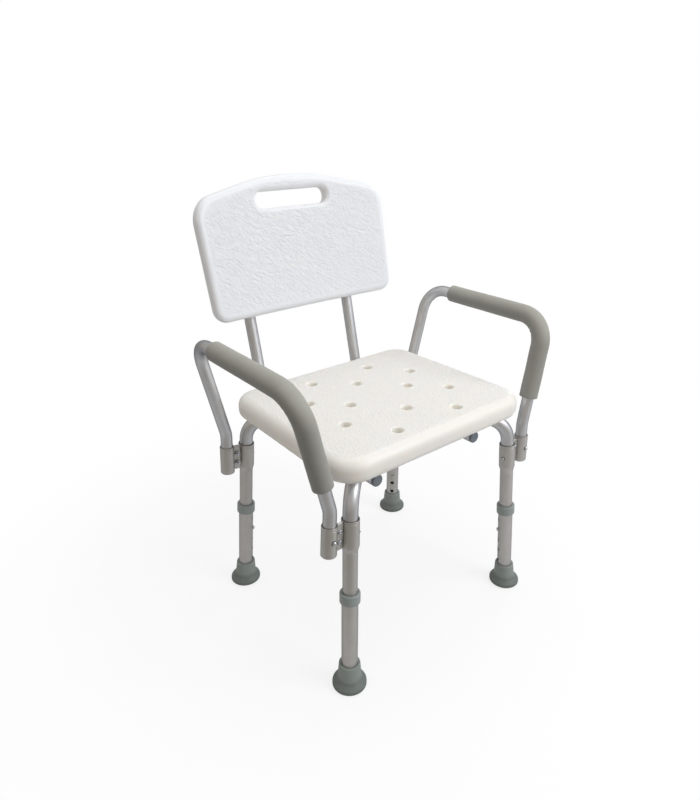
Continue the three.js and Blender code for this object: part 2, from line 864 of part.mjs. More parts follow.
function seatPanel() {
  const low = SEAT.top - SEAT.thickness;
  const high = SEAT.top;
  const wall = SEAT.wall;
  const { bottomEdge, topEdge, edgeSteps, hollowSteps } = SEAT;
  const outer = slabLevels(low, high, bottomEdge, topEdge, edgeSteps);
  const body = loft(seatRings(0, outer));
  const innerEdges = [bottomEdge - wall, topEdge - wall];
  const hollow = loft(seatRings(wall, slabLevels(low + wall, high - wall, ...innerEdges, hollowSteps)));
  const grooves = [CORNERS[0], CORNERS[1]].map((corner) =>
    straightCross(corner, (CROSS.radius + GAP) / Math.cos(Math.PI / CROSS.grooveSides)),
  );
  const grooveWalls = [CORNERS[0], CORNERS[1]].map((corner) =>
    straightCross(corner, CROSS.radius + GAP + wall),
  );
  const bosses = drainPlaces().map(([x, y]) =>
    rod(SEAT.holeRadius + wall, low, high, SEAT.holeSides).translate([x, y, 0]),
  );
  const boltBosses = seatBoltPlaces().map(([x, y]) =>
    rod(SEAT_BOLT.boss, low, SEAT_BOLT.top + 2 * wall, SEAT.bossSides).translate([x, y, 0]),
  );
  const drains = drainPlaces().map(([x, y]) => drainCutter(low, high).translate([x, y, 0]));
  const boltHoles = seatBoltPlaces().map(([x, y]) =>
    rod(SEAT_BOLT.hole, low - OVERCUT, SEAT_BOLT.top + GAP, SEAT_BOLT.sides).translate([x, y, 0]),
  );
  const { ventRadius, ventSides, ventY } = SEAT;
  const ventRod = rod(ventRadius, low - OVERCUT, low + wall + OVERCUT, ventSides);
  const vent = ventRod.translate([0, ventY, 0]);
  const core = joined([...bosses, ...boltBosses, ...grooveWalls]);
  const cuts = joined([...drains, ...boltHoles, ...grooves, vent]);
  return body.subtract(hollow.subtract(core)).subtract(cuts);
}

// ---------------------------------------------------------------- backrest
// Panel frame: x across, y back from the front face, z up the panel.
const BACK_ANGLE = Math.atan(BACK.lean);
const bowAt = (x) => -BACK.bow * (x / BACK.bowHalf) ** 2;

function placeBackPiece(solid) {
  const degrees = THREE.MathUtils.radToDeg(-BACK_ANGLE);
  return solid.rotate([degrees, 0, 0]).translate([0, BACK.bottomY, BACK.bottomZ]);
}

// Long straight edges get points of their own, so that they can follow the bow.
function splitEdges(outline, longest) {
  return outline.flatMap((point, i) => {
    const next = outline[(i + 1) % outline.length];
    const parts = Math.max(1, Math.ceil(point.distanceTo(next) / longest));
    return Array.from({ length: parts }, (_, part) => point.clone().lerp(next, part / parts));
  });
}

// An outline of the panel, laid at a depth and bowed forward at its sides.
function bowedRing(outline, depth) {
  return outline.map(({ x, y }) => new THREE.Vector3(x, depth + bowAt(x), y));
}

function backRings(inset, levels) {
  const corners = [
    [BACK.bottomHalf, 0],
    [BACK.topHalf, BACK.shoulder],
    [BACK.crownHalf, BACK.crown],
    [-BACK.crownHalf, BACK.crown],
    [-BACK.topHalf, BACK.shoulder],
    [-BACK.bottomHalf, 0],
  ].map(([x, z]) => new THREE.Vector2(x, z));
  const { lowerCorner, upperCorner, crownBend } = BACK;
  const radii = [lowerCorner, upperCorner, crownBend, crownBend, upperCorner, lowerCorner];
  return levels.map(([edgeInset, depth]) => {
    const outline = roundedOutline(corners, radii, inset + edgeInset, BACK.cornerSteps);
    return bowedRing(splitEdges(outline, BACK.longestEdge), depth);
  });
}

function slotRings(outset, levels) {
  const corners = [
    [-BACK.slotHalf, BACK.slotLow],
    [BACK.slotHalf, BACK.slotLow],
    [BACK.slotHalf, BACK.slotHigh],
    [-BACK.slotHalf, BACK.slotHigh],
  ].map(([x, z]) => new THREE.Vector2(x, z));
  const radii = Array(4).fill(BACK.slotCorner);
  return levels.map(([lip, depth]) => {
    const outline = roundedOutline(corners, radii, -outset - lip, BACK.slotCornerSteps);
    return bowedRing(splitEdges(outline, BACK.longestSlotEdge), depth);
  });
}

function backScrewPlaces() {
  return BACK.screwHeights.flatMap((height) => [
    [-BACK_TUBE.x, height],
    [BACK_TUBE.x, height],
  ]);
}

// A rod along the panel's depth, for bosses and screw holes.
function depthRod(radius, from, to, sides, [x, height]) {
  return rod(radius, -to, -from, sides).rotate([90, 0, 0]).translate([x, 0, height]);
}

function backrestPanel() {
  const { thickness, wall, edge, slotLip, edgeSteps, hollowSteps } = BACK;
  const body = loft(backRings(0, slabLevels(0, thickness, edge, edge, edgeSteps)));
  const innerLevels = slabLevels(wall, thickness - wall, edge - wall, edge - wall, hollowSteps);
  const hollow = loft(backRings(wall, innerLevels));
  const slot = loft(
    slotRings(0, [
      [slotLip, -OVERCUT],
      [slotLip, 0],
      [slotLip * ROUNDING, slotLip * ROUNDING],
      [0, slotLip],
      [0, thickness - slotLip],
      [slotLip * ROUNDING, thickness - slotLip * ROUNDING],
      [slotLip, thickness],
      [slotLip, thickness + OVERCUT],
    ]),
  );
  const slotWall = loft(
    slotRings(slotLip + wall, [
      [0, 0],
      [0, thickness],
    ]),
  );
  const rearAt = thickness + bowAt(BACK_TUBE.x);
  const outerBosses = backScrewPlaces().map((place) =>
    depthRod(BACK.bossRadius, rearAt - wall, BACK_TUBE.offset - BACK.bossGap, BACK.bossSides, place),
  );
  const innerBosses = backScrewPlaces().map((place) =>
    depthRod(BOLT.shank + BACK.coreWall, BACK.coreFloor, rearAt, BACK.coreSides, place),
  );
  const screwHoles = backScrewPlaces().map((place) =>
    depthRod(BOLT.hole, BACK.screwTip, BACK_TUBE.offset, BOLT.sides, place),
  );
  const tubeRoom = (BACK_TUBE.radius + GAP) / Math.cos(Math.PI / CROSS.grooveSides);
  const cradles = [-1, 1].map((side) => {
    const cylinder = rod(tubeRoom, -OVERCUT, BACK.cradleLength, CROSS.grooveSides);
    return cylinder.translate([side * BACK_TUBE.x, BACK_TUBE.offset, 0]);
  });
  const ventRod = rod(SEAT.ventRadius, -OVERCUT, wall + OVERCUT, SEAT.ventSides);
  const vent = ventRod.translate([0, thickness / 2, 0]);
  const solid = body
    .add(joined(outerBosses))
    .subtract(hollow.subtract(slotWall).subtract(joined(innerBosses)))
    .subtract(joined([slot, vent, ...screwHoles, ...cradles]));
  return placeBackPiece(solid);
}

// ---------------------------------------------------------------- back tubes
function backTubePath(side) {
  const up = new THREE.Vector3(0, Math.sin(BACK_ANGLE), Math.cos(BACK_ANGLE));
  const back = new THREE.Vector3(0, Math.cos(BACK_ANGLE), -Math.sin(BACK_ANGLE));
  const foot = new THREE.Vector3(side * BACK_TUBE.x, BACK.bottomY, BACK.bottomZ);
  foot.addScaledVector(back, BACK_TUBE.offset);
  const top = foot.clone().addScaledVector(up, BACK_TUBE.top);
  const elbow = foot.clone().addScaledVector(up, (BACK_TUBE_Z - foot.z) / up.z);
  const front = new THREE.Vector3(side * BACK_TUBE.x, BACK_TUBE.front, BACK_TUBE_Z);
  return bentPath([front, elbow, top], [BACK_TUBE.bend], BACK_TUBE.bendSteps);
}

function backTube(side) {
  const tube = sweep(backTubePath(side), BACK_TUBE.radius, BACK_TUBE.bore, BACK_TUBE.sides);
  const throughAt = BACK_TUBE.offset + BACK_TUBE.radius + OVERCUT;
  const screwHoles = backScrewPlaces().map((place) =>
    placeBackPiece(depthRod(BOLT.hole, 0, throughAt, BOLT.sides, place)),
  );
  return tube.subtract(joined([...screwHoles, seatBoltHoles()]));
}

// A rounded cap with a stem inside the tube; +Z points out of the tube's end.
function tubePlug() {
  const stem = BACK_TUBE.bore * Math.cos(Math.PI / BACK_TUBE.sides) - GAP;
  const profile = [
    [0, -PLUG.stem],
    [stem - PLUG.stemChamfer, -PLUG.stem],
    [stem, PLUG.tipLength - PLUG.stem],
    [stem, GAP],
    [BACK_TUBE.radius, GAP],
    ...PLUG.crown.map(([width, height]) => [BACK_TUBE.radius * width, PLUG.cap * height]),
    [0, PLUG.cap],
  ];
  return lathe(profile, BACK_TUBE.sides);
}

function frontPlug(side) {
  const { point, tangent } = backTubePath(side)[0];
  return aim(tubePlug(), tangent.clone().negate(), point);
}

// ---------------------------------------------------------------- armrests
function armPath(side) {
  const foot = (sy, height) => {
    const { origin, axis } = socketPose({ sx: side, sy });
    const lean = new THREE.Quaternion().setFromUnitVectors(new THREE.Vector3(0, 0, 1), axis);
    const inSocket = new THREE.Vector3(side * ARM.socketOffset, 0, height);
    return inSocket.applyQuaternion(lean).add(origin);
  };
  const bottom = ARM.lipThickness - ARM.socketBelow + GAP;
  const knee = ARM.kneeHeight - ARM.socketHeight;
  const corners = [
    foot(-1, bottom),
    foot(-1, knee),
    new THREE.Vector3(side * ARM.topX, -ARM.topY, ARM.topZ),
    new THREE.Vector3(side * ARM.topX, ARM.topY, ARM.topZ),
    foot(1, knee),
    foot(1, bottom),
  ];
  return bentPath(corners, [ARM.kneeBend, ARM.topBend, ARM.topBend, ARM.kneeBend], ARM.bendSteps);
}

function armTube(side) {
  const tube = sweep(armPath(side), ARM.radius, ARM.bore, ARM.sides);
  const holes = [-1, 1].map((sy) => {
    const corner = { sx: side, sy };
    const hole = buttonHole(ARM.socketRadius).rotate([0, 0, sy * 90]);
    return placeSocketPiece(hole.translate([side * ARM.socketOffset, 0, 0]), corner);
  });
  return tube.subtract(joined(holes));
}

// The pad covers the stretch between a height on the front leg and a place on the top bar.
function padPath(side) {
  const path = armPath(side);
  const cut = (from, to, share) => ({
    point: from.point.clone().lerp(to.point, share),
    tangent: to.point.clone().sub(from.point).normalize(),
  });
  const hand = side < 0 ? 'left' : 'right';
  const [front, rear] = [ARM.padFront[hand], ARM.padRear[hand]];
  const first = path.findIndex(({ point }) => point.z > front);
  const last = path.findIndex(({ point }) => point.y > rear);
  const startShare =
    (front - path[first - 1].point.z) / (path[first].point.z - path[first - 1].point.z);
  const endShare =
    (rear - path[last - 1].point.y) / (path[last].point.y - path[last - 1].point.y);
  return [
    cut(path[first - 1], path[first], startShare),
    ...path.slice(first, last),
    cut(path[last - 1], path[last], endShare),
  ];
}

function armPad(side) {
  const bore = (ARM.radius + GAP) / Math.cos(Math.PI / ARM.sides);
  return sweep(padPath(side), ARM.padRadius, bore, ARM.sides);
}

function armButton(corner) {
  const button = snapButton(ARM.bore, ARM.socketRadius + BUTTON.stand);
  const turned = button.rotate([0, 0, corner.sy * 90]);
  return placeSocketPiece(turned.translate([corner.sx * ARM.socketOffset, 0, 0]), corner);
}

// ---------------------------------------------------------------- assembly
addPiece(chair, 'seat_panel', seatPanel(), 'seat');
addPiece(chair, 'backrest_panel', backrestPanel(), 'backrest');
addPiece(chair, 'cross_tube_upper', crossTube(CORNERS[0], 1), 'aluminium');
addPiece(chair, 'cross_tube_lower', crossTube(CORNERS[1], -1), 'aluminium');
seatBoltPlaces().forEach(([x, y], i) => {
  addPiece(chair, `seat_bolt_${CORNERS[i].name}`, seatBolt().translate([x, y, 0]), 'zinc');
});

[-1, 1].forEach((side) => {
  const hand = side < 0 ? 'left' : 'right';
  addPiece(chair, `back_tube_${hand}`, backTube(side), 'aluminium');
  addPiece(chair, `back_tube_plug_${hand}`, frontPlug(side), 'plug');
  addPiece(chair, `arm_tube_${hand}`, armTube(side), 'aluminium');
  addPiece(chair, `arm_pad_${hand}`, armPad(side), 'foam');
});

CORNERS.forEach((corner) => {
  const upper = placeLegPiece(upperLeg(corner), corner).add(
    placeSocketPiece(legFin(corner), corner),
  );
  const heightButton = snapButton(LEG.upperBore, LEG.lowerRadius + BUTTON.stand)
    .translate([0, 0, HEIGHT_BUTTON_Z])
    .rotate([0, 0, inwardTurn(corner)]);
  const heightClip = springClip(LEG.upperBore)
    .translate([0, 0, HEIGHT_BUTTON_Z])
    .rotate([0, 0, inwardTurn(corner)]);
  const sleeveButton = snapButton(CROSS.bore, LEG.sleeveRadius + BUTTON.stand)
    .translate([0, 0, CROSS.buttonHeight])
    .rotate([0, 0, sleeveTurn(corner)]);
  addPiece(chair, `upper_leg_${corner.name}`, upper, 'anodised');
  addPiece(chair, `lower_leg_${corner.name}`, placeLegPiece(lowerLeg(corner), corner), 'anodised');
  addPiece(chair, `collar_${corner.name}`, placeLegPiece(collar(), corner), 'collar');
  addPiece(chair, `foot_${corner.name}`, foot(corner), 'rubber');
  addPiece(chair, `height_button_${corner.name}`, placeLegPiece(heightButton, corner), 'zinc');
  addPiece(chair, `height_clip_${corner.name}`, placeLegPiece(heightClip, corner), 'spring');
  addPiece(chair, `sleeve_button_${corner.name}`, placeLegPiece(sleeveButton, corner), 'zinc');
  addPiece(chair, `arm_socket_${corner.name}`, placeSocketPiece(armSocket(corner), corner), 'anodised');
  addPiece(chair, `arm_button_${corner.name}`, armButton(corner), 'zinc');
  Object.entries(FIN.boltHeights).forEach(([level, height]) => {
    const bolt = placeFinBolt(finBolt(), corner, height);
    addPiece(chair, `socket_bolt_${corner.name}_${level}`, bolt, 'zinc');
  });
});

// The origin is the middle of the whole object's footprint, on the floor.
const bounds = new THREE.Box3().setFromObject(chair);
chair.position.y = -(bounds.min.y + bounds.max.y) / 2;

export default chair;
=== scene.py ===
"""A shower chair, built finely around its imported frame: moulded seat and backrest, bent aluminium tubes,
telescopic legs with snap buttons, lift-out armrests with foam pads, and every bolt, nut, screw and plug.

Shapes are worked out in millimetres in the chair's own frame (front towards -Y, floor at Z = 0),
then scaled and moved into the row frame, where Y is measured from the middle of the footprint.
"""

import math
from types import SimpleNamespace

import bmesh
import bpy
from mathutils import Matrix, Vector, noise


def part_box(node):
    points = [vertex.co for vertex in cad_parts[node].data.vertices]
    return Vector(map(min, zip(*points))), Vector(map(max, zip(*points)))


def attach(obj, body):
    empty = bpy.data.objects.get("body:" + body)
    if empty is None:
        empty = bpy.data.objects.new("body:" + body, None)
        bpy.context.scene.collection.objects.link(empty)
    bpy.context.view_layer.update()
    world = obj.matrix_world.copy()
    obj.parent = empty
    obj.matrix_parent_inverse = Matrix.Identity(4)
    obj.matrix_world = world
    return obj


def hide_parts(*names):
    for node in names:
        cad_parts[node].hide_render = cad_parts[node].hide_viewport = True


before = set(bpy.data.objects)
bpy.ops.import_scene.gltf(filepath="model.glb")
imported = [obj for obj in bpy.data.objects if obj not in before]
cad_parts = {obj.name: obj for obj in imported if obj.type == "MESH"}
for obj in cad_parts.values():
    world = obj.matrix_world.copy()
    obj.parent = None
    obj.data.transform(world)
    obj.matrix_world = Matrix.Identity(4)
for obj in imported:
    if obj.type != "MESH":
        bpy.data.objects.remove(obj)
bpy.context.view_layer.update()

# ------------------------------------------------------------------ driving dimensions, in millimetres
MM = 0.001
GAP = 0.3  # clearance between pieces that touch
OVERCUT = 1  # how far a cutter runs past the surface it cuts

LEG = SimpleNamespace(
    foot_x=213, foot_y=179.5, splay=0.055,
    lower_radius=14.3, lower_bore=13.0, lower_bottom=11, lower_top=190,
    upper_radius=12.7, upper_bore=11.3, upper_bottom=98,
    swage_bottom=275, swage_top=285, sleeve_radius=15.2, sleeve_bore=13.9, sleeve_top=333.5,
    hole_first=58, hole_pitch=25.4, hole_count=5, button_hole=3,
)
COLLAR = SimpleNamespace(radius=17.7, bottom=175.4, top=194.5)
FOOT = SimpleNamespace(
    flange=30.3, waist=20.5, cup=18.8, height=47, floor=9.5, sole_chamfer=2.5,
    grip=1.4, grip_start=4, ring_radii=(6, 13, 20), ring_width=2.6, ring_room=5.8,
)
BUTTON = SimpleNamespace(
    radius=3.8, hole=4.4, hole_from=5, flange=5.2, flange_thickness=1, stand=3.4, dome=1.3, crown=0.55,
)
CROSS = SimpleNamespace(
    radius=12.7, bore=11.2, height=386, bend=48, end=287, lap_half=20, lap_reach=20, wall=1.5,
    button_height=306, button_swing=8,  # degrees from straight inward
)
SEAT = SimpleNamespace(
    top=438.2, thickness=43.1, front=-179.2, rear=175.7, front_half=220.9, rear_half=213.1,
    front_corner=51.8, rear_corner=43.7, top_edge=20, bottom_edge=16, hole=10, lip=2.5,
    vent=3, vent_y=20, vent_depth=4,
)
# drain holes: distance from the centre line, and Y
DRAINS = [(69, 112.6), (0, 61), (125, 44), (70, -6.3), (126, -62), (0, -79), (71, -132.7)]
BACK = SimpleNamespace(
    lean=0.229, bottom_y=209.5, bottom_z=560.5, bottom_half=210, top_half=215, shoulder=216,
    crown_half=60, crown=253, thickness=27.3, bow=14, bow_half=200, edge=11,
    lower_corner=26.5, upper_corner=50, crown_bend=430,
    slot_half=82, slot_low=194, slot_high=225, slot_corner=14, slot_lip=8,
    screw_heights=(45, 140), boss=9, boss_root=3, boss_gap=4, cradle_length=300, vent=3, vent_depth=8,
)
BACK_TUBE = SimpleNamespace(radius=11.1, bore=9.7, x=120, offset=36.7, top=172, bend=50, front=-136)
PLUG = SimpleNamespace(
    clearance=0.6, inset=0.1, length=12, chamfer=1, rib=0.5, rib_count=8, crown=0.62,
    front_cap=5, top_cap=2.4,
)
ARM = SimpleNamespace(
    radius=11.1, bore=9.6, socket_offset=41.8, socket_y=161.5, socket_height=309.8,
    socket_radius=13.2, socket_bore=11.9, socket_below=29.5, socket_above=26.3,
    socket_lip=8.5, lip_thickness=2, knee_height=361.5, knee_bend=60,
    top_x=280.5, top_y=153.5, top_z=563, top_bend=53, pad_radius=17.5,
    pad_front={"left": 409, "right": 415}, pad_rear={"left": 81, "right": 84},
)
FIN = SimpleNamespace(
    top=23, bottom=-27, thickness=2, corner=4, soft=0.4, clearance=0.5, bolts={"lower": -12.5, "upper": 7},
)
BEAD = SimpleNamespace(depth=0.35, half=0.6, below=4.8)  # a rolled groove under a tube's rim
BOLT = SimpleNamespace(
    shank=2.4, hole=2.8, head=4.5, head_height=2.6, tip=-10, recess=2.6, recess_depth=1.3,
    nut=4.4, nut_height=3.6, thread_room=0.12, corner_drop=0.9,
)
SCREW = SimpleNamespace(
    shank=2.2, tip=12, point=1.2, taper=8, washer=5.2, washer_thickness=0.8, head=4.2,
    crown=3.4, crown_height=2.4, height=2.8, recess=2.2, recess_half=0.45, recess_floor=1.4,
)
SEAT_BOLT = SimpleNamespace(
    shank=3, hole=3.4, head=5.2, head_height=3.4, top=416,
    recess=4, recess_depth=1.9, hole_low=330, hole_high=420,
)

SHIFT_Y = SEAT.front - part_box("seat_panel")[0].y / MM
TO_ROW = Matrix.Scale(MM, 4) @ Matrix.Translation((0, -SHIFT_Y, 0))
BACK_ANGLE = math.atan(BACK.lean)
BACK_TUBE_Z = CROSS.height - CROSS.radius - GAP - BACK_TUBE.radius
HEIGHT_BUTTON_Z = LEG.hole_first + LEG.button_hole * LEG.hole_pitch

LEG_TURN = {"front_right": 12}  # degrees by which that leg's row of holes is turned from facing the middle
CORNERS = [("front_left", -1, -1), ("front_right", 1, -1), ("rear_left", -1, 1), ("rear_right", 1, 1)]
HANDS = [("left", -1), ("right", 1)]

ROUND = 48  # facets round a tube
SMALL_ROUND = 24  # facets round a bolt or a button
ARC = 16  # steps in a bend or a rounded corner
SOFT_ARC = 5  # steps in the small rounding of an edge
SEAT_EDGE_STEPS = 10  # steps in the seat's large rounding
EDGE_STEPS = 8  # steps in the rounding of the backrest and of the plugs
DRAIN_SIDES = 40
PAD_SIDES = 56
BOSS_SIDES = 32
SHARP = math.radians(38)  # edges that turn more than this aren't smoothed over


# ------------------------------------------------------------------ meshes
def build_mesh(points, faces, uvs=None):
    """A closed mesh with its faces pointing out; uvs holds one (u, v) for each corner of each face."""
    mesh = bpy.data.meshes.new("shape")
    mesh.from_pydata([tuple(p) for p in points], [], faces)
    if uvs:
        layer = mesh.uv_layers.new(name="surface")
        for loop, uv in zip(layer.data, uvs):
            loop.uv = uv
    work = bmesh.new()
    work.from_mesh(mesh)
    bmesh.ops.recalc_face_normals(work, faces=work.faces)
    work.to_mesh(mesh)
    work.free()
    return mesh


def moved(mesh, matrix):
    """The same mesh, transformed, its faces still pointing out."""
    mesh.transform(matrix)
    if matrix.determinant() < 0:
        mesh.flip_normals()
    return mesh


def joined(meshes):
    """Several meshes as one, without any boolean: for tools that don't touch each other."""
    work = bmesh.new()
    for mesh in meshes:
        work.from_mesh(mesh)
    whole = bpy.data.meshes.new("shape")
    work.to_mesh(whole)
    work.free()
    return whole


def boolean(mesh, tool, operation):
    """The mesh joined with a tool, or cut by it."""
    target = bpy.data.objects.new("target", mesh)
    other = bpy.data.objects.new("tool", tool)
    for item in (target, other):
        bpy.context.scene.collection.objects.link(item)
    modifier = target.modifiers.new("boolean", "BOOLEAN")
    modifier.operation = operation
    modifier.solver = "EXACT"
    modifier.object = other
    graph = bpy.context.evaluated_depsgraph_get()
    result = bpy.data.meshes.new_from_object(
        target.evaluated_get(graph), preserve_all_data_layers=True, depsgraph=graph
    )
    bpy.data.objects.remove(target)
    bpy.data.objects.remove(other)
    return result


def cut(mesh, *tools):
    for tool in tools:
        mesh = boolean(mesh, tool, "DIFFERENCE")
    return mesh


def add(mesh, tool):
    return boolean(mesh, tool, "UNION")


def shade(mesh, sharp=SHARP):
    """Smooth shading, broken only where two faces meet at a clear edge."""
    work = bmesh.new()
    work.from_mesh(mesh)
    bmesh.ops.remove_doubles(work, verts=work.verts, dist=1e-4)
    for face in work.faces:
        face.smooth = True
    for edge in work.edges:
        if edge.is_manifold:
            edge.smooth = edge.calc_face_angle(0) < sharp
    work.to_mesh(mesh)
    work.free()


# ------------------------------------------------------------------ outlines and paths
def arc_points(before, corner, after, radius, steps):
    """The arc that rounds a corner, and the direction of travel at each of its points."""
    back = (before - corner).normalized()
    ahead = (after - corner).normalized()
    turn = math.pi - back.angle(ahead)
    if radius <= 0 or turn < 1e-4:
        return [(corner, ahead)]
    reach = radius * math.tan(turn / 2)
    centre = corner + (back + ahead).normalized() * (radius / math.cos(turn / 2))
    start = corner + back * reach - centre
    end = corner + ahead * reach - centre
    found = []
    for step in range(steps + 1):
        share = step / steps
        near = math.sin((1 - share) * turn) / math.sin(turn)
        far = math.sin(share * turn) / math.sin(turn)
        found.append((centre + start * near + end * far, (ahead * far - back * near).normalized()))
    return found


def softened(profile, radius, steps=SOFT_ARC):
    """A profile of (radius, height) points with rounded corners; a third value sets a corner's own radius."""
    points = [Vector(p[:2]) for p in profile]
    rounded = []
    for i, given in enumerate(profile):
        before, after = points[i - 1], points[(i + 1) % len(points)]
        on_axis = points[i].x == 0
        own = given[2] if len(given) > 2 else radius
        room = 0.45 * min((before - points[i]).length, (after - points[i]).length)
        if on_axis or own <= 0 or room < 0.05:
            rounded.append(points[i])
            continue
        turn = math.pi - (before - points[i]).angle(after - points[i])
        fits = room / max(math.tan(turn / 2), 1e-6)
        rounded += [p for p, _ in arc_points(before, points[i], after, min(own, fits), steps)]
    return rounded


def bent_path(corners, radii):
    """Stations of (point, direction) along straight runs joined by arcs."""
    stations = [(corners[0], (corners[1] - corners[0]).normalized())]
    for i, radius in enumerate(radii, start=1):
        stations += arc_points(corners[i - 1], corners[i], corners[i + 1], radius, ARC)
    stations.append((corners[-1], (corners[-1] - corners[-2]).normalized()))
    return stations


def inset_corners(corners, inset):
    """The corners of a polygon, anticlockwise, after its sides move inwards."""
    lines = []
    for i, corner in enumerate(corners):
        along = (corners[(i + 1) % len(corners)] - corner).normalized()
        lines.append((corner + Vector((-along.y, along.x)) * inset, along))
    found = []
    for i, (start, along) in enumerate(lines):
        last_start, last_along = lines[i - 1]
        across = start - last_start
        scale = (across.x * along.y - across.y * along.x) / (
            last_along.x * along.y - last_along.y * along.x
        )
        found.append(last_start + last_along * scale)
    return found


def rounded_outline(corners, radii, inset, steps):
    """A convex outline with rounded corners, moved inwards by an inset."""
    inner = inset_corners([Vector(c) for c in corners], inset)
    outline = []
    for i, corner in enumerate(inner):
        radius = max(radii[i] - inset, 1)
        arc = arc_points(inner[i - 1], corner, inner[(i + 1) % len(inner)], radius, steps)
        outline += [point for point, _ in arc]
    return outline


# ------------------------------------------------------------------ solids
def lathe(profile, sides=ROUND):
    """A body turned round +Z. The profile runs from axis to axis, or is a ring that closes on itself."""
    points, rows = [], []
    for radius, height in profile:
        count = 1 if radius < 1e-6 else sides
        rows.append(range(len(points), len(points) + count))
        for i in range(count):
            angle = 2 * math.pi * i / sides
            points.append((radius * math.cos(angle), radius * math.sin(angle), height))
    lengths = [0.0]
    for a, b in zip(profile, profile[1:]):
        lengths.append(lengths[-1] + math.hypot(b[0] - a[0], b[1] - a[1]))
    pairs = [(i, i + 1) for i in range(len(rows) - 1)]
    if profile[0][0] > 1e-6:
        pairs.append((len(rows) - 1, 0))
    widest = max(p[0] for p in profile)
    faces, uvs = [], []
    for low, high in pairs:
        for i in range(sides):
            after = (i + 1) % sides
            ring = [(low, i, i), (low, after, i + 1), (high, after, i + 1), (high, i, i)]
            if len(rows[low]) == 1:
                ring.pop(1)
            elif len(rows[high]) == 1:
                ring.pop(2)
            faces.append([rows[row][k % len(rows[row])] for row, k, _ in ring])
            uvs += [(2 * math.pi * widest * turn / sides * MM, lengths[row] * MM) for row, _, turn in ring]
    return build_mesh(points, faces, uvs)


def rod(radius, low, high, sides=SMALL_ROUND):
    return lathe([(0, low), (radius, low), (radius, high), (0, high)], sides)


def block(low, high):
    """A box between two corners, given in any order."""
    xs, ys, zs = zip(low, high)
    points = [(x, y, z) for x in sorted(xs) for y in sorted(ys) for z in sorted(zs)]
    faces = [(0, 1, 3, 2), (4, 6, 7, 5), (0, 4, 5, 1), (2, 3, 7, 6), (0, 2, 6, 4), (1, 5, 7, 3)]
    return build_mesh(points, faces)


def frames_along(stations):
    """Two directions across the path at each station, carried along without twist."""
    direction = stations[0][1]
    side = direction.orthogonal().normalized()
    frames = []
    for _, tangent in stations:
        side = direction.rotation_difference(tangent) @ side
        direction = tangent
        frames.append((side, tangent.cross(side)))
    return frames


def sweep(stations, radius, bore=0.0, sides=ROUND, rim=0.35):
    """A tube along a path, or a rod where there is no bore. A tube's rims are slightly rounded."""
    frames = frames_along(stations)
    last = len(stations) - 1
    outer = [(i, radius, 0) for i in range(1, last)]
    if bore:
        inner = [(i, bore, 0) for i in range(last - 1, 0, -1)]
        rows = [(0, radius - rim, 0), (0, radius, rim), *outer, (last, radius, -rim), (last, radius - rim, 0)]
        rows += [(last, bore + rim, 0), (last, bore, -rim), *inner, (0, bore, rim), (0, bore + rim, 0)]
    else:
        rows = [(0, radius, 0), *outer, (last, radius, 0)]
    run = [0.0]
    for (a, _), (b, _) in zip(stations, stations[1:]):
        run.append(run[-1] + (b - a).length)
    points = []
    for i, size, along in rows:
        point, tangent = stations[i]
        for k in range(sides):
            angle = 2 * math.pi * k / sides
            spoke = frames[i][0] * math.cos(angle) + frames[i][1] * math.sin(angle)
            points.append(point + tangent * along + spoke * size)
    faces, uvs = [], []
    for row in range(len(rows) if bore else len(rows) - 1):
        other = (row + 1) % len(rows)
        for k in range(sides):
            after = (k + 1) % sides
            faces.append((row * sides + k, row * sides + after, other * sides + after, other * sides + k))
            u = [2 * math.pi * radius * turn / sides * MM for turn in (k, k + 1)]
            v = [(run[rows[r][0]] + rows[r][2]) * MM for r in (row, other)]
            uvs += [(u[0], v[0]), (u[1], v[0]), (u[1], v[1]), (u[0], v[1])]
    if not bore:
        faces += [tuple(range(sides)), tuple(range(len(points) - sides, len(points)))]
        uvs += [(0, 0)] * (2 * sides)
    return build_mesh(points, faces, uvs)


def loft(rings):
    """A closed body through rings of equal length, with a flat face over each end."""
    count = len(rings[0])
    points = [point for ring in rings for point in ring]
    faces = []
    for start in range(0, len(points) - count, count):
        for i in range(count):
            after = (i + 1) % count
            faces.append((start + i, start + after, start + count + after, start + count + i))
    faces += [tuple(range(count)), tuple(range(len(points) - count, len(points)))]
    return build_mesh(points, faces)


def slab_levels(low, high, low_edge, high_edge, steps):
    """Inset and level of each ring of a slab with quarter-round edges."""
    angles = quarter_turn(steps)
    levels = [(low_edge * (1 - math.sin(a)), low + low_edge * (1 - math.cos(a))) for a in angles]
    levels += [(high_edge * (1 - math.cos(a)), high - high_edge * (1 - math.sin(a))) for a in angles]
    return levels


def standing_slab(corners, radii, levels, steps=ARC):
    """A slab across the Y axis: its outline in X and Z, at the inset and the depth of each level."""
    return loft(
        [[(p.x, y, p.y) for p in rounded_outline(corners, radii, inset, steps)] for inset, y in levels]
    )


def aim(direction, origin=(0, 0, 0)):
    """A matrix that turns +Z along a direction and puts the origin at a point."""
    turn = Vector((0, 0, 1)).rotation_difference(Vector(direction))
    return Matrix.Translation(origin) @ turn.to_matrix().to_4x4()


def turn(degrees, axis):
    return Matrix.Rotation(math.radians(degrees), 4, axis)


def shift(x, y, z):
    return Matrix.Translation((x, y, z))


def mirror(sx, sy):
    return Matrix.Diagonal((sx, sy, 1, 1))


def upright_rod(radius, low, high, x, y, sides=SMALL_ROUND):
    return moved(rod(radius, low, high, sides), shift(x, y, 0))


def quarter_turn(steps=SOFT_ARC):
    """The angles of a quarter of a turn, in equal steps."""
    return [math.pi / 2 * step / steps for step in range(steps + 1)]


# ------------------------------------------------------------------ where the pieces sit
def leg_point(sx, sy, height):
    reach = LEG.splay * height
    return Vector((sx * (LEG.foot_x - reach), sy * (LEG.foot_y - reach), height))


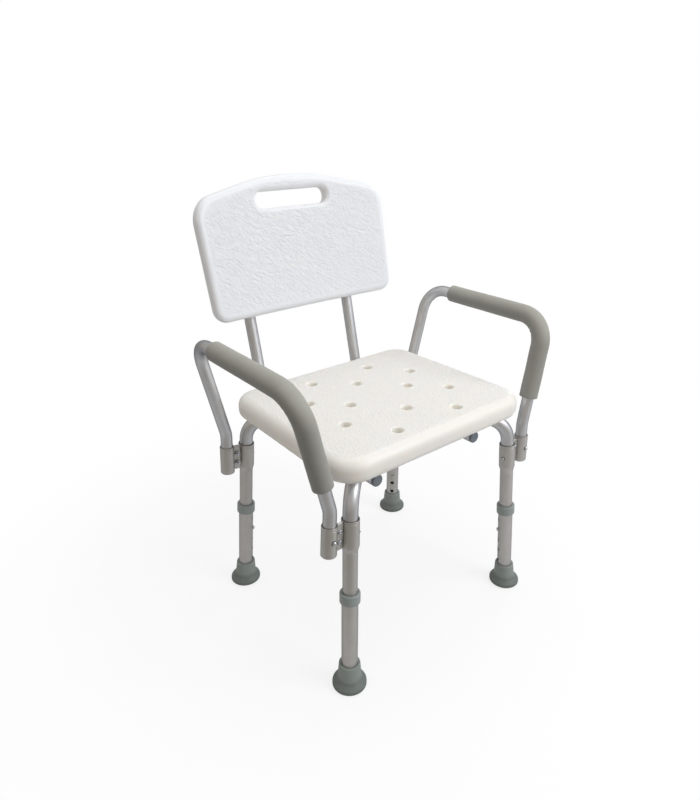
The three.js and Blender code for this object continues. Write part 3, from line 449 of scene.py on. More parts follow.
def on_leg(height=0):
    """Stands a piece on the axis of the rear right leg; the other corners are mirror images of it."""
    foot = leg_point(1, 1, 0)
    return aim((leg_point(1, 1, 1) - foot).normalized(), foot) @ shift(0, 0, height)


def on_socket(offset=0.0):
    """Stands a piece in the frame of the rear right arm socket."""
    origin = Vector((LEG.foot_x - LEG.splay * ARM.socket_height, ARM.socket_y, ARM.socket_height))
    return aim(Vector((-LEG.splay, 0, 1)).normalized(), origin) @ shift(offset, 0, 0)


SLEEVE = turn(180 - CROSS.button_swing, "Z")  # from +X to a sleeve button's direction at the rear right leg
TO_X = turn(90, "Y")  # from +Z to +X
FIN_FACE = GAP / 2 + FIN.thickness + GAP  # from the middle of the lapped fins to a bolt's head or its nut
FIN_MIDDLE = (LEG.sleeve_radius + ARM.socket_offset - ARM.socket_radius) / 2


def inward(corner="rear_right"):
    """From +X towards the middle of the chair, for a piece that is made at the rear right leg."""
    return turn(-135 - LEG_TURN.get(corner, 0), "Z")


def seat_bolt_places():
    corner = leg_point(1, 1, CROSS.height)
    y = BACK_TUBE.x * corner.y / corner.x
    return [(sx * BACK_TUBE.x, sy * y) for _, sx, sy in CORNERS]


def seat_bolt_holes(high=SEAT_BOLT.hole_high, side=None):
    """Cutters for the seat bolts' holes, at all four or only on one side."""
    return [
        upright_rod(SEAT_BOLT.hole, SEAT_BOLT.hole_low, high, x, y)
        for x, y in seat_bolt_places() if side is None or x * side > 0
    ]


def on_back():
    """The panel's frame: x across, y back from its front face, z up the panel."""
    return shift(0, BACK.bottom_y, BACK.bottom_z) @ Matrix.Rotation(-BACK_ANGLE, 4, "X")


def bow_at(x):
    return -BACK.bow * (x / BACK.bow_half) ** 2


def back_screw_places():
    return [(side * BACK_TUBE.x, height) for height in BACK.screw_heights for side in (-1, 1)]


def depth_rod(radius, near, far, x, height, sides=SMALL_ROUND):
    """A rod along the panel's depth."""
    return moved(rod(radius, -far, -near, sides), shift(x, 0, height) @ turn(90, "X"))


# ------------------------------------------------------------------ shader nodes
def connect(tree, socket, given):
    """Feeds a socket from another node's output, or sets it to a constant."""
    if isinstance(given, bpy.types.NodeSocket):
        tree.links.new(given, socket)
    else:
        socket.default_value = given


def make_node(tree, kind, inputs=None, **settings):
    """A shader node with its settings and what feeds its inputs."""
    made = tree.nodes.new(f"ShaderNode{kind}")
    for name, value in settings.items():
        setattr(made, name, value)
    for key, given in (inputs or {}).items():
        connect(tree, made.inputs[key], given)
    return made


def feed(tree, shader, **inputs):
    """Connects inputs of the shader, or sets its constants."""
    for socket, given in inputs.items():
        connect(tree, shader.inputs[socket.replace("_", " ")], given)


def new_material(name, **settings):
    """A material, its node tree and its Principled shader with the constants that are the same everywhere."""
    material = bpy.data.materials.new(name)
    material.use_nodes = True
    tree = material.node_tree
    shader = tree.nodes["Principled BSDF"]
    feed(tree, shader, **settings)
    return material, tree, shader


def place(tree, source="Object", scale=(1, 1, 1)):
    """Texture coordinates of a kind, scaled."""
    if source == "UV":
        output = make_node(tree, "UVMap", uv_map="surface").outputs["UV"]
    else:
        output = make_node(tree, "TexCoord").outputs[source]
    return make_node(tree, "Mapping", {"Vector": output, "Scale": scale}).outputs["Vector"]


def local_axes(tree, vector, origin=(0, 0, 0), rotation=(0, 0, 0), stretch=(1, 1, 1)):
    """Coordinates measured from an origin along turned axes; a pattern on them is stretched along each."""
    inputs = {"Vector": vector, "Location": origin, "Rotation": rotation, "Scale": stretch}
    return make_node(tree, "Mapping", inputs, vector_type="TEXTURE").outputs["Vector"]


def noise_field(tree, vector, scale, detail=3.0, roughness=0.5, distortion=0.0):
    inputs = {"Vector": vector, "Scale": scale, "Detail": detail}
    inputs.update({"Roughness": roughness, "Distortion": distortion})
    return make_node(tree, "TexNoise", inputs).outputs["Fac"]


def cell_field(tree, vector, scale, smoothness=0.6):
    inputs = {"Vector": vector, "Scale": scale, "Smoothness": smoothness}
    return make_node(tree, "TexVoronoi", inputs, feature="SMOOTH_F1").outputs["Distance"]


def remap(tree, value, low, high, to_low, to_high, smooth=False):
    """A value taken from one range to another, and held within it."""
    inputs = {"Value": value, "From Min": low, "From Max": high, "To Min": to_low, "To Max": to_high}
    kind = "SMOOTHSTEP" if smooth else "LINEAR"
    return make_node(tree, "MapRange", inputs, interpolation_type=kind).outputs["Result"]


def calculate(tree, operation, *values):
    return make_node(tree, "Math", dict(enumerate(values)), operation=operation).outputs["Value"]


def plus(tree, first, second):
    return calculate(tree, "ADD", first, second)


def minus(tree, first, second):
    return calculate(tree, "SUBTRACT", first, second)


def times(tree, first, second):
    return calculate(tree, "MULTIPLY", first, second)


def along(tree, vector, direction):
    """How far a vector reaches along a direction."""
    return make_node(tree, "VectorMath", {0: vector, 1: direction}, operation="DOT_PRODUCT").outputs["Value"]


def split(tree, vector):
    return make_node(tree, "SeparateXYZ", {0: vector}).outputs


def blend_colours(tree, share, first, second):
    made = make_node(tree, "Mix", {"Factor": share}, data_type="RGBA")
    for socket, given in zip([i for i in made.inputs if i.type == "RGBA"], (first, second)):
        connect(tree, socket, given)
    return next(o for o in made.outputs if o.type == "RGBA")


def bump(tree, shader, height, strength, distance):
    """Relief with a depth in metres. A second call goes on top of the first."""
    inputs = {"Height": height, "Strength": strength, "Distance": distance}
    under = shader.inputs["Normal"].links
    if under:
        inputs["Normal"] = under[0].from_socket
    feed(tree, shader, Normal=make_node(tree, "Bump", inputs).outputs["Normal"])


def colour(red, green, blue):
    """A screen colour, 0 to 255, as linear light."""
    def linear(value):
        share = value / 255
        return share / 12.92 if share <= 0.04045 else ((share + 0.055) / 1.055) ** 2.4

    return (linear(red), linear(green), linear(blue), 1.0)


def facing(tree, direction, low, high):
    """How far the surface faces a direction in the object's own frame, from 0 to 1."""
    normal = make_node(tree, "TexCoord").outputs["Normal"]
    return remap(tree, along(tree, normal, direction), low, high, 0, 1, smooth=True)


def stored(tree, name):
    """A value kept on the mesh's points."""
    return make_node(tree, "Attribute", attribute_name=name).outputs["Fac"]


# ------------------------------------------------------------------ materials
MILKY = {"Subsurface_Weight": 0.6, "Subsurface_Scale": 0.012, "IOR": 1.52}
PAINTED_GLOW_STRENGTH = 0.05  # strength of the painted glow in thin walls of milky plastic, which stands in for the light that comes through them
PAINTED_EDGE_SHADE = (92, 96, 102)  # painted shade: the colour metal is darkened to where it curves away from view


def paint_glow(tree, shader, share, tint):
    """Painted glow: thin walls of milky plastic emit a little light of their own, standing in for the light
    that comes through them.
    """
    feed(tree, shader, Emission_Color=tint, Emission_Strength=times(tree, share, PAINTED_GLOW_STRENGTH))


def seat_plastic():
    """Warm white polyethylene: a fine pebbled top, smooth rolled edges, faint mould flow underneath."""
    material, tree, shader = new_material("seat_plastic", Subsurface_Radius=(1.0, 0.85, 0.7), **MILKY)
    vector = place(tree)
    drift = noise_field(tree, vector, scale=7, detail=4)
    tint = blend_colours(tree, drift, colour(240, 238, 234), colour(236, 233, 227))
    top = facing(tree, (0, 0, 1), 0.93, 0.995)
    pebbles = cell_field(tree, vector, scale=300)
    grain = noise_field(tree, vector, scale=700, detail=2)
    relief = minus(tree, plus(tree, pebbles, times(tree, grain, 0.4)), 0.65)
    bump(tree, shader, times(tree, relief, top), 1.0, 0.0013)
    bump(tree, shader, noise_field(tree, vector, scale=26, detail=2), 0.25, 0.0008)
    gloss = plus(tree, remap(tree, drift, 0.3, 0.7, 0.36, 0.46), times(tree, top, 0.12))
    feed(tree, shader, Base_Color=tint, Roughness=gloss)
    # painted glow on the drain holes' walls and lips
    paint_glow(tree, shader, stored(tree, "painted_glow_mask"), colour(255, 246, 226))
    return material


def box_distance(tree, vector, centre, half, radius):
    """Distance outside a rounded box in the X-Z plane, in metres."""
    parts = split(tree, vector)
    outside, inside = [], []
    for axis, middle, reach in (("X", centre[0], half[0]), ("Z", centre[1], half[1])):
        offset = calculate(tree, "ABSOLUTE", minus(tree, parts[axis], middle))
        beyond = minus(tree, offset, reach - radius)
        outside.append(calculate(tree, "POWER", calculate(tree, "MAXIMUM", beyond, 0.0), 2.0))
        inside.append(beyond)
    reach = calculate(tree, "SQRT", plus(tree, *outside))
    depth = calculate(tree, "MINIMUM", calculate(tree, "MAXIMUM", *inside), 0.0)
    return minus(tree, plus(tree, reach, depth), radius)


def slot_distance(tree, vector):
    """Distance outside the backrest's hand slot, in metres."""
    centre = (0, (BACK.slot_low + BACK.slot_high) / 2 * MM)
    half = (BACK.slot_half * MM, (BACK.slot_high - BACK.slot_low) / 2 * MM)
    return box_distance(tree, vector, centre, half, BACK.slot_corner * MM)


def backrest_plastic():
    """Cool white polyethylene with a creased leather grain inside smooth borders."""
    material, tree, shader = new_material("backrest_plastic", Subsurface_Radius=(1.0, 0.92, 0.85), **MILKY)
    corner = (TO_ROW @ on_back()).to_translation()
    vector = local_axes(tree, place(tree), corner, (-BACK_ANGLE, 0, 0))  # X across, Y into and Z up the panel
    slanted = local_axes(tree, vector, rotation=(0, math.radians(30), 0), stretch=(2.5, 1, 1))
    drift = noise_field(tree, vector, scale=6, detail=3)
    tint = blend_colours(tree, drift, colour(235, 237, 241), colour(231, 233, 237))
    slot = slot_distance(tree, vector)
    mask = times(tree, stored(tree, "grain"), remap(tree, slot, 0.005, 0.010, 0, 1, smooth=True))
    folds = noise_field(tree, slanted, scale=125, detail=1, roughness=0.4, distortion=0.7)
    valley = calculate(tree, "ABSOLUTE", minus(tree, folds, 0.5))
    creases = remap(tree, valley, 0, 0.1, -0.42, 0.18, smooth=True)
    swell = noise_field(tree, slanted, scale=185, detail=0.5, roughness=0.4, distortion=0.9)
    relief = plus(tree, creases, times(tree, minus(tree, swell, 0.5), 1.3))
    bump(tree, shader, times(tree, relief, mask), 1.0, 0.0010)
    feed(tree, shader, Base_Color=tint, Roughness=remap(tree, mask, 0, 1, 0.36, 0.5))
    # painted glow on the slot's lip, standing in for light through the thin plastic
    rim = remap(tree, slot, 0.0005, 0.003, 1, 0, smooth=True)
    paint_glow(tree, shader, rim, colour(255, 240, 214))
    return material


def tube_metal(name, light, dark, gloss, streaks, metallic, rim):
    """Drawn aluminium: fine lines along it, cloudy anodising, a few scuffs, and a painted shade that darkens
    it where it curves away from view.
    """
    material, tree, shader = new_material(name, Metallic=metallic)
    lines = noise_field(tree, place(tree, "UV", scale=(1.0, 0.02, 1.0)), scale=1500)
    clouds = noise_field(tree, place(tree), scale=28, detail=4)
    scuffs = noise_field(tree, place(tree, scale=(1, 1, 0.25)), scale=190, detail=5, roughness=0.7)
    worn = remap(tree, scuffs, 0.62, 0.74, 0, 1, smooth=True)
    share = times(tree, plus(tree, lines, clouds), 0.5)
    tint = blend_colours(tree, remap(tree, share, 0.35, 0.65, 0, 1), light, dark)
    # painted shade: the colour darkens where the surface turns away from view, as strongly as rim asks
    curve = make_node(tree, "LayerWeight", {"Blend": 0.5}).outputs["Facing"]
    turned = remap(tree, curve, 0.3, 0.95, 0, rim, smooth=True)
    base = remap(tree, share, 0.3, 0.7, gloss - 0.04, gloss + 0.05)
    feed(
        tree, shader, Base_Color=blend_colours(tree, turned, tint, colour(*PAINTED_EDGE_SHADE)),
        Roughness=plus(tree, base, times(tree, worn, 0.08)),
    )
    bump(tree, shader, lines, streaks, 0.00012)
    return material


def moulded_grey(name, tone, shadow, gloss, grain_depth):
    """Grey moulded rubber or plastic: matte grain, paler on its edges, and darker in its corners as painted
    shade.
    """
    material, tree, shader = new_material(name)
    vector = place(tree)
    clouds = noise_field(tree, vector, scale=40, detail=4)
    grain = noise_field(tree, vector, scale=1100)
    # curvature mask (named worn): it pales the edges and darkens the hollows, and the darkening in the
    # hollows is painted shade; the shadow colour is taken by random clouds and by that painted shade
    edges = make_node(tree, "NewGeometry").outputs["Pointiness"]
    worn = remap(tree, edges, 0.46, 0.56, 0, 1, smooth=True)
    share = times(tree, plus(tree, clouds, worn), 0.5)
    rough = remap(tree, grain, 0.3, 0.7, gloss - 0.05, gloss + 0.06)
    feed(tree, shader, Base_Color=blend_colours(tree, share, shadow, tone), Roughness=rough)
    bump(tree, shader, grain, 0.4, grain_depth)
    return material


def foot_rubber():
    """Rubber whose flange, near the floor, is darker than its cup."""
    material = moulded_grey(
        "rubber", tone=colour(140, 147, 142), shadow=colour(128, 136, 131), gloss=0.58, grain_depth=0.00022
    )
    tree = material.node_tree
    shader = tree.nodes["Principled BSDF"]
    cup_tone = shader.inputs["Base Color"].links[0].from_socket
    # darker towards the bottom: below the cup the colour goes to a darker grey
    height = remap(tree, split(tree, place(tree))["Z"], 0.014, 0.027, 0, 1, smooth=True)
    feed(tree, shader, Base_Color=blend_colours(tree, height, colour(106, 113, 109), cup_tone))
    return material


def foam_rubber():
    """Closed-cell foam: finely pitted, with painted shade that darkens the faces turned down so its top reads
    paler, and faint rings from being stretched round the tube.
    """
    sheen = {"Sheen_Weight": 0.1, "Sheen_Roughness": 0.6}
    material, tree, shader = new_material("foam", Specular_IOR_Level=0.5, **sheen)
    vector = place(tree)
    pits = cell_field(tree, vector, scale=1300, smoothness=0.3)
    clouds = noise_field(tree, vector, scale=34, detail=4)
    rings = noise_field(tree, place(tree, "UV", scale=(0.15, 1.0, 1.0)), scale=210)
    share = plus(tree, times(tree, clouds, 0.6), times(tree, rings, 0.4))
    share = remap(tree, share, 0.3, 0.7, 0, 1)
    tint = blend_colours(tree, share, colour(158, 157, 148), colour(164, 163, 155))
    # painted shade: faces turned away from above take a darker colour
    upward = facing(tree, (0.1, -0.25, 0.96), -0.1, 0.75)
    tint = blend_colours(tree, upward, colour(138, 138, 134), tint)
    feed(tree, shader, Base_Color=tint, Roughness=remap(tree, pits, 0, 0.6, 0.56, 0.7))
    bump(tree, shader, pits, 0.5, 0.0003)
    bump(tree, shader, rings, 0.12, 0.0004)
    return material


def plated_steel(name, light, dark, gloss):
    """Zinc or spring steel: bright, with turning marks and a mottled plating."""
    material, tree, shader = new_material(name, Metallic=1.0)
    vector = place(tree)
    mottled = noise_field(tree, vector, scale=420, detail=5, roughness=0.6)
    tint = blend_colours(tree, remap(tree, mottled, 0.35, 0.65, 0, 1), light, dark)
    feed(tree, shader, Base_Color=tint, Roughness=remap(tree, mottled, 0.3, 0.7, gloss - 0.05, gloss + 0.1))
    bump(tree, shader, noise_field(tree, vector, scale=2600, detail=2), 0.2, 0.00008)
    return material


# rim sets how strongly each metal takes the painted edge shade
TUBE_LOOKS = {
    "satin_aluminium": dict(
        light=colour(218, 219, 222), dark=colour(206, 206, 206),
        gloss=0.44, streaks=0.35, metallic=1.0, rim=0.75,
    ),
    "anodised_aluminium": dict(
        light=colour(201, 199, 195), dark=colour(194, 191, 186),
        gloss=0.42, streaks=0.25, metallic=0.88, rim=0.35,
    ),
}
GREY_LOOKS = {
    "collar_plastic": dict(
        tone=colour(150, 158, 156), shadow=colour(136, 144, 142), gloss=0.42, grain_depth=0.00008,
    ),
    "plug_plastic": dict(
        tone=colour(120, 128, 137), shadow=colour(96, 104, 112), gloss=0.4, grain_depth=0.00008,
    ),
}
STEEL_LOOKS = {
    "zinc_steel": dict(light=colour(206, 208, 211), dark=colour(180, 182, 186), gloss=0.22),
    "spring_steel": dict(light=colour(150, 152, 156), dark=colour(112, 114, 120), gloss=0.34),
}


def make_materials():
    """One material for each slot of the record, by the slot's name."""
    made = {
        "seat_plastic": seat_plastic(), "backrest_plastic": backrest_plastic(),
        "rubber": foot_rubber(), "foam": foam_rubber(),
    }
    for make, looks in ((tube_metal, TUBE_LOOKS), (moulded_grey, GREY_LOOKS), (plated_steel, STEEL_LOOKS)):
        made.update({name: make(name, **look) for name, look in looks.items()})
    return made


MATERIALS = make_materials()


def piece(name, mesh, body, slot, replaces=()):
    """Puts a finished mesh into the scene: in the row frame, in metres, on its body and in its material."""
    obj = bpy.data.objects.new(name, mesh)
    bpy.context.scene.collection.objects.link(obj)
    shade(mesh)
    mesh.transform(TO_ROW)
    mesh.materials.clear()
    mesh.materials.append(MATERIALS[slot])
    weighted = obj.modifiers.new("weighted normals", "WEIGHTED_NORMAL")
    weighted.keep_sharp = True
    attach(obj, body)
    if replaces:
        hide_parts(*replaces)
    return obj


def fine(node, mesh, body, slot):
    """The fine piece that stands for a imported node."""
    return piece(f"{node}_fine", mesh, body, slot, [node])


def four_corners(node, mesh, slot, own_body=None, standing_for=True, turned=None):
    """The same piece at each corner, mirrored from the rear right one; turned makes it anew for a turned leg.

    It rides the frame, or where own_body is given its corner's own body.
    """
    for corner, sx, sy in CORNERS:
        own = turned(corner) if turned and corner in LEG_TURN else mesh.copy()
        body = f"{own_body}_{corner}" if own_body else "frame"
        name = node.format(corner)
        piece(f"{name}_fine", moved(own, mirror(sx, sy)), body, slot, [name] if standing_for else ())


# ------------------------------------------------------------------ seat
def straight_cross(sx, radius):
    """A rod along the straight middle of a cross tube."""
    near = leg_point(sx, 1, CROSS.height)
    far = leg_point(-sx, -1, CROSS.height)
    return moved(rod(radius, 0, (far - near).length, ROUND), aim((far - near).normalized(), near))


def drain_cutter(low, high):
    """A hole with a rolled lip above and below."""
    reach = SEAT.hole + SEAT.lip
    under, over = low - OVERCUT, high + OVERCUT
    lower = [(reach - SEAT.lip * math.sin(a), low + SEAT.lip * (1 - math.cos(a))) for a in quarter_turn()]
    upper = [(radius, low + high - height) for radius, height in reversed(lower)]
    return lathe([(0, under), (reach, under), *lower, *upper, (reach, over), (0, over)], DRAIN_SIDES)


def drain_places():
    return [(side * x, y) for x, y in DRAINS for side in ((1,) if x == 0 else (-1, 1))]


def mark_painted_glow_mask(mesh):
    """Stores where the painted glow shows: 1 on the walls of the drain holes, 0 beyond their lips."""
    values = mesh.attributes.new("painted_glow_mask", "FLOAT", "POINT")
    for vert, item in zip(mesh.vertices, values.data):
        nearest = min(math.hypot(vert.co.x - x, vert.co.y - y) for x, y in drain_places())
        item.value = min(1.0, max(0.0, (SEAT.hole + SEAT.lip - nearest) / SEAT.lip))


def make_seat():
    low, high = SEAT.top - SEAT.thickness, SEAT.top
    corners = [
        (-SEAT.front_half, SEAT.front), (SEAT.front_half, SEAT.front),
        (SEAT.rear_half, SEAT.rear), (-SEAT.rear_half, SEAT.rear),
    ]
    radii = [SEAT.front_corner, SEAT.front_corner, SEAT.rear_corner, SEAT.rear_corner]
    rings = [
        [(p.x, p.y, height) for p in rounded_outline(corners, radii, inset, ARC)]
        for inset, height in slab_levels(low, high, SEAT.bottom_edge, SEAT.top_edge, SEAT_EDGE_STEPS)
    ]
    drains = [moved(drain_cutter(low, high), shift(x, y, 0)) for x, y in drain_places()]
    grooves = [straight_cross(sx, CROSS.radius + GAP) for sx in (-1, 1)]
    vent = upright_rod(SEAT.vent, low - OVERCUT, low + SEAT.vent_depth, 0, SEAT.vent_y)
    seat = cut(loft(rings), joined(drains), *grooves, joined([*seat_bolt_holes(SEAT_BOLT.top + GAP), vent]))
    mark_painted_glow_mask(seat)
    fine("seat_panel", seat, "frame", "seat_plastic")


# ------------------------------------------------------------------ backrest
BACK_CORNERS = [
    (BACK.bottom_half, 0), (BACK.top_half, BACK.shoulder), (BACK.crown_half, BACK.crown),
    (-BACK.crown_half, BACK.crown), (-BACK.top_half, BACK.shoulder), (-BACK.bottom_half, 0),
]
HALF_RADII = [BACK.lower_corner, BACK.upper_corner, BACK.crown_bend]
BACK_RADII = HALF_RADII + HALF_RADII[::-1]
SLOT_CORNERS = [
    (-BACK.slot_half, BACK.slot_low), (BACK.slot_half, BACK.slot_low),
    (BACK.slot_half, BACK.slot_high), (-BACK.slot_half, BACK.slot_high),
]
GRAIN_BORDER = (12, 16)  # inset where the front's grain begins, and where it is full
BOW_STEP = 9.0  # width of the strips that the panel is bowed in


def slot_cutter():
    """The hand slot with rolled lips front and back."""
    lip, deep = BACK.slot_lip, BACK.thickness
    near = [(-lip * (1 - math.sin(a)), lip * (1 - math.cos(a))) for a in quarter_turn()]
    far = [(inset, deep - depth) for inset, depth in reversed(near)]
    levels = [(-lip, -OVERCUT), *near, *far, (-lip, deep + OVERCUT)]
    return standing_slab(SLOT_CORNERS, [BACK.slot_corner] * len(SLOT_CORNERS), levels)


def back_slab():
    """The flat panel before it is bowed, with rings on its front face that carry the grain's border."""
    levels = slab_levels(0, BACK.thickness, BACK.edge, BACK.edge, EDGE_STEPS)
    return standing_slab(BACK_CORNERS, BACK_RADII, [(inset, 0) for inset in reversed(GRAIN_BORDER)] + levels)


def bowed(mesh):
    """Sliced across its width, then bowed forward at its sides."""
    work = bmesh.new()
    work.from_mesh(mesh)
    for i in range(1, int(2 * BACK.top_half / BOW_STEP)):
        geometry = [*work.verts, *work.edges, *work.faces]
        x = i * BOW_STEP - BACK.top_half
        bmesh.ops.bisect_plane(work, geom=geometry, plane_co=(x, 0, 0), plane_no=(1, 0, 0), dist=1e-4)
    for vert in work.verts:
        vert.co.y += bow_at(vert.co.x)
    work.to_mesh(mesh)
    work.free()
    return mesh


def mark_grain(mesh):
    """Stores 1 on the points of the front face that carry the full grain, and 0 elsewhere."""
    full = rounded_outline(BACK_CORNERS, BACK_RADII, GRAIN_BORDER[1], ARC)
    values = mesh.attributes.new("grain", "FLOAT", "POINT")
    for vert, item in zip(mesh.vertices, values.data):
        on_front = abs(vert.co.y - bow_at(vert.co.x)) < 0.05
        item.value = 1.0 if on_front and inside(full, Vector((vert.co.x, vert.co.z)), 0.2) else 0.0


def inside(outline, point, slack):
    """Whether a point lies in a convex outline, anticlockwise, or within a little of it."""
    for a, b in zip(outline, outline[1:] + outline[:1]):
        if (b - a).length > 1e-6 and (b - a).normalized().cross(point - a) < -slack:
            return False
    return True


def make_backrest():
    panel = bowed(cut(back_slab(), slot_cutter()))
    mark_grain(panel)
    rear = BACK.thickness + bow_at(BACK_TUBE.x)
    bosses = [
        depth_rod(BACK.boss, rear - BACK.boss_root, BACK_TUBE.offset - BACK.boss_gap, x, height, BOSS_SIDES)
        for x, height in back_screw_places()
    ]
    room = BACK_TUBE.radius + GAP
    cradles = [
        upright_rod(room, -OVERCUT, BACK.cradle_length, side * BACK_TUBE.x, BACK_TUBE.offset, ROUND)
        for side in (-1, 1)
    ]
    vent = upright_rod(BACK.vent, -OVERCUT, BACK.vent_depth, 0, BACK.thickness / 2)
    panel = cut(add(panel, joined(bosses)), joined(cradles), vent)
    fine("backrest_panel", moved(panel, on_back()), "frame", "backrest_plastic")


def make_back_screws():
    """Pan-head screws through the back tubes into the panel's bosses, with a cross recess and a washer."""
    face = BACK_TUBE.radius + GAP
    washer_top = face + SCREW.washer_thickness
    profile = [
        (0, -face - SCREW.tip), (SCREW.point, -face - SCREW.tip), (SCREW.shank, -face - SCREW.taper),
        (SCREW.shank, BACK_TUBE.bore), (SCREW.shank, face), (SCREW.washer, face), (SCREW.washer, washer_top),
        (SCREW.head, washer_top), (SCREW.crown, face + SCREW.crown_height), (0, face + SCREW.height),
    ]
    head = lathe(softened(profile, 0.5), SMALL_ROUND)
    for angle in (0, 90):
        low = (-SCREW.recess, -SCREW.recess_half, face + SCREW.recess_floor)
        high = (SCREW.recess, SCREW.recess_half, face + SCREW.height + OVERCUT)
        head = cut(head, moved(block(low, high), turn(angle, "Z")))
    for i, (x, height) in enumerate(back_screw_places(), start=1):
        screw = moved(head.copy(), on_back() @ shift(x, BACK_TUBE.offset, height) @ turn(-90, "X"))
        piece(f"back_screw_{i}", screw, "frame", "zinc_steel")


# ------------------------------------------------------------------ frame tubes
def cross_path(sx):
    near = [leg_point(sx, -1, height) for height in (CROSS.end, CROSS.height)]
    far = [leg_point(-sx, 1, height) for height in (CROSS.height, CROSS.end)]
    return bent_path(near + far, [CROSS.bend, CROSS.bend])


def make_cross_tube(node, sx, side):
    """side is +1 for the tube that keeps its upper half at the crossing, -1 for the lower."""
    path = cross_path(sx)
    across = leg_point(sx, -1, CROSS.height)
    turned = Matrix.Rotation(math.atan2(across.y, across.x), 4, "Z")
    half, wall, deep = CROSS.lap_half, CROSS.wall, CROSS.lap_reach

    def notch(reach, face):
        levels = [CROSS.height + side * face, CROSS.height - side * deep]
        return moved(block((-reach, -deep, levels[0]), (reach, deep, levels[1])), turned)

    outer = cut(sweep(path, CROSS.radius), notch(half, GAP / 2))
    (start, first), (end, last) = path[0], path[-1]
    longer = [(start - first * OVERCUT, first), *path[1:-1], (end + last * OVERCUT, last)]
    inner = cut(sweep(longer, CROSS.bore), notch(half + wall, GAP / 2 + wall))
    hole = moved(button_hole(LEG.sleeve_radius), on_leg(CROSS.button_height) @ SLEEVE)
    ends = [moved(hole.copy(), mirror(sx, -1)), moved(hole.copy(), mirror(-sx, 1))]
    tube = cut(cut(outer, inner), joined([*seat_bolt_holes(), *ends]))
    fine(node, tube, "frame", "satin_aluminium")


def back_tube_path(side):
    up = Vector((0, math.sin(BACK_ANGLE), math.cos(BACK_ANGLE)))
    back = Vector((0, math.cos(BACK_ANGLE), -math.sin(BACK_ANGLE)))
    foot = Vector((side * BACK_TUBE.x, BACK.bottom_y, BACK.bottom_z)) + back * BACK_TUBE.offset
    elbow = foot + up * ((BACK_TUBE_Z - foot.z) / up.z)
    front = Vector((side * BACK_TUBE.x, BACK_TUBE.front, BACK_TUBE_Z))
    return bent_path([front, elbow, foot + up * BACK_TUBE.top], [BACK_TUBE.bend])


def make_back_tube(hand, side):
    tube = sweep(back_tube_path(side), BACK_TUBE.radius, BACK_TUBE.bore)
    behind = BACK_TUBE.offset + BACK_TUBE.radius + OVERCUT
    screws = [
        moved(depth_rod(BOLT.hole, 0, behind, x, height), on_back())
        for x, height in back_screw_places() if x * side > 0
    ]
    tube = cut(tube, joined([*screws, *seat_bolt_holes(side=side)]))
    fine(f"back_tube_{hand}", tube, "frame", "satin_aluminium")


def tube_plug(cap):
    """A rounded cap, its stem ribbed to grip the bore; +Z points out of the tube's end."""
    stem, rim = BACK_TUBE.bore - PLUG.clearance, BACK_TUBE.radius - PLUG.inset
    base = PLUG.chamfer - PLUG.length
    ribs = [(stem - PLUG.rib * (i % 2), base + i) for i in range(1, PLUG.rib_count + 1)]
    profile = [
        (0, -PLUG.length), (stem - PLUG.chamfer * 0.6, -PLUG.length), (stem, base), *ribs,
        (stem, GAP), (rim, GAP), (rim, cap, cap * PLUG.crown), (0, cap),
    ]
    return lathe(softened(profile, 0.25, EDGE_STEPS))


def make_plugs(hand, side):
    path = back_tube_path(side)
    (front, forward), (top, upward) = path[0], path[-1]
    node = f"back_tube_plug_{hand}"
    fine(node, moved(tube_plug(PLUG.front_cap), aim(-forward, front)), "frame", "plug_plastic")
    upper = moved(tube_plug(PLUG.top_cap), aim(upward, top))
    piece(f"back_tube_cap_{hand}", upper, "frame", "plug_plastic")


# ------------------------------------------------------------------ legs
def hexagon(across, low, high):
    """A six-sided rod, given the distance between two of its faces."""
    return rod(across / 2 / math.cos(math.pi / 6), low, high, 6)


def make_seat_bolts():
    face = BACK_TUBE_Z - BACK_TUBE.radius - GAP
    low = face - SEAT_BOLT.head_height
    profile = [
        (0, low), (SEAT_BOLT.head * 0.62, low, 1.2), (SEAT_BOLT.head, low + 1.6, 1.2), (SEAT_BOLT.head, face),
        (SEAT_BOLT.shank, face, 0), (SEAT_BOLT.shank, SEAT_BOLT.top - 1),
        (SEAT_BOLT.shank - 0.8, SEAT_BOLT.top, 0), (0, SEAT_BOLT.top),
    ]
    recess = hexagon(SEAT_BOLT.recess, low - OVERCUT, low + SEAT_BOLT.recess_depth)
    bolt = cut(lathe(softened(profile, 0.4), SMALL_ROUND), recess)
    for (corner, _, _), (x, y) in zip(CORNERS, seat_bolt_places()):
        fine(f"seat_bolt_{corner}", moved(bolt.copy(), shift(x, y, 0)), "frame", "zinc_steel")


def button_hole(outer):
    """A cutter along +X for a button's hole in one wall of a tube."""
    return moved(rod(BUTTON.hole, BUTTON.hole_from, outer + 2 * OVERCUT), TO_X)


def fin_plate(near, far, side):
    """A flange plate with rounded corners, in the socket's frame; side is -1 on the leg, 1 on the socket."""
    low, high = sorted((side * GAP / 2, side * (GAP / 2 + FIN.thickness)))
    corners = [(near, FIN.bottom), (far, FIN.bottom), (far, FIN.top), (near, FIN.top)]
    soft = FIN.soft
    levels = [(soft, low), (0, low + soft), (0, high - soft), (soft, high)]
    plate = standing_slab(corners, [FIN.corner] * len(corners), levels, SOFT_ARC)
    reach = GAP + FIN.thickness + OVERCUT
    holes = [
        moved(rod(BOLT.hole, -reach, reach), shift(FIN_MIDDLE, 0, height) @ turn(90, "X"))
        for height in FIN.bolts.values()
    ]
    return cut(plate, joined(holes))


def bead(radius, top):
    """A shallow rolled groove just under a tube's upper rim."""
    middle = top - BEAD.below
    return [(radius, middle - BEAD.half), (radius - BEAD.depth, middle), (radius, middle + BEAD.half)]


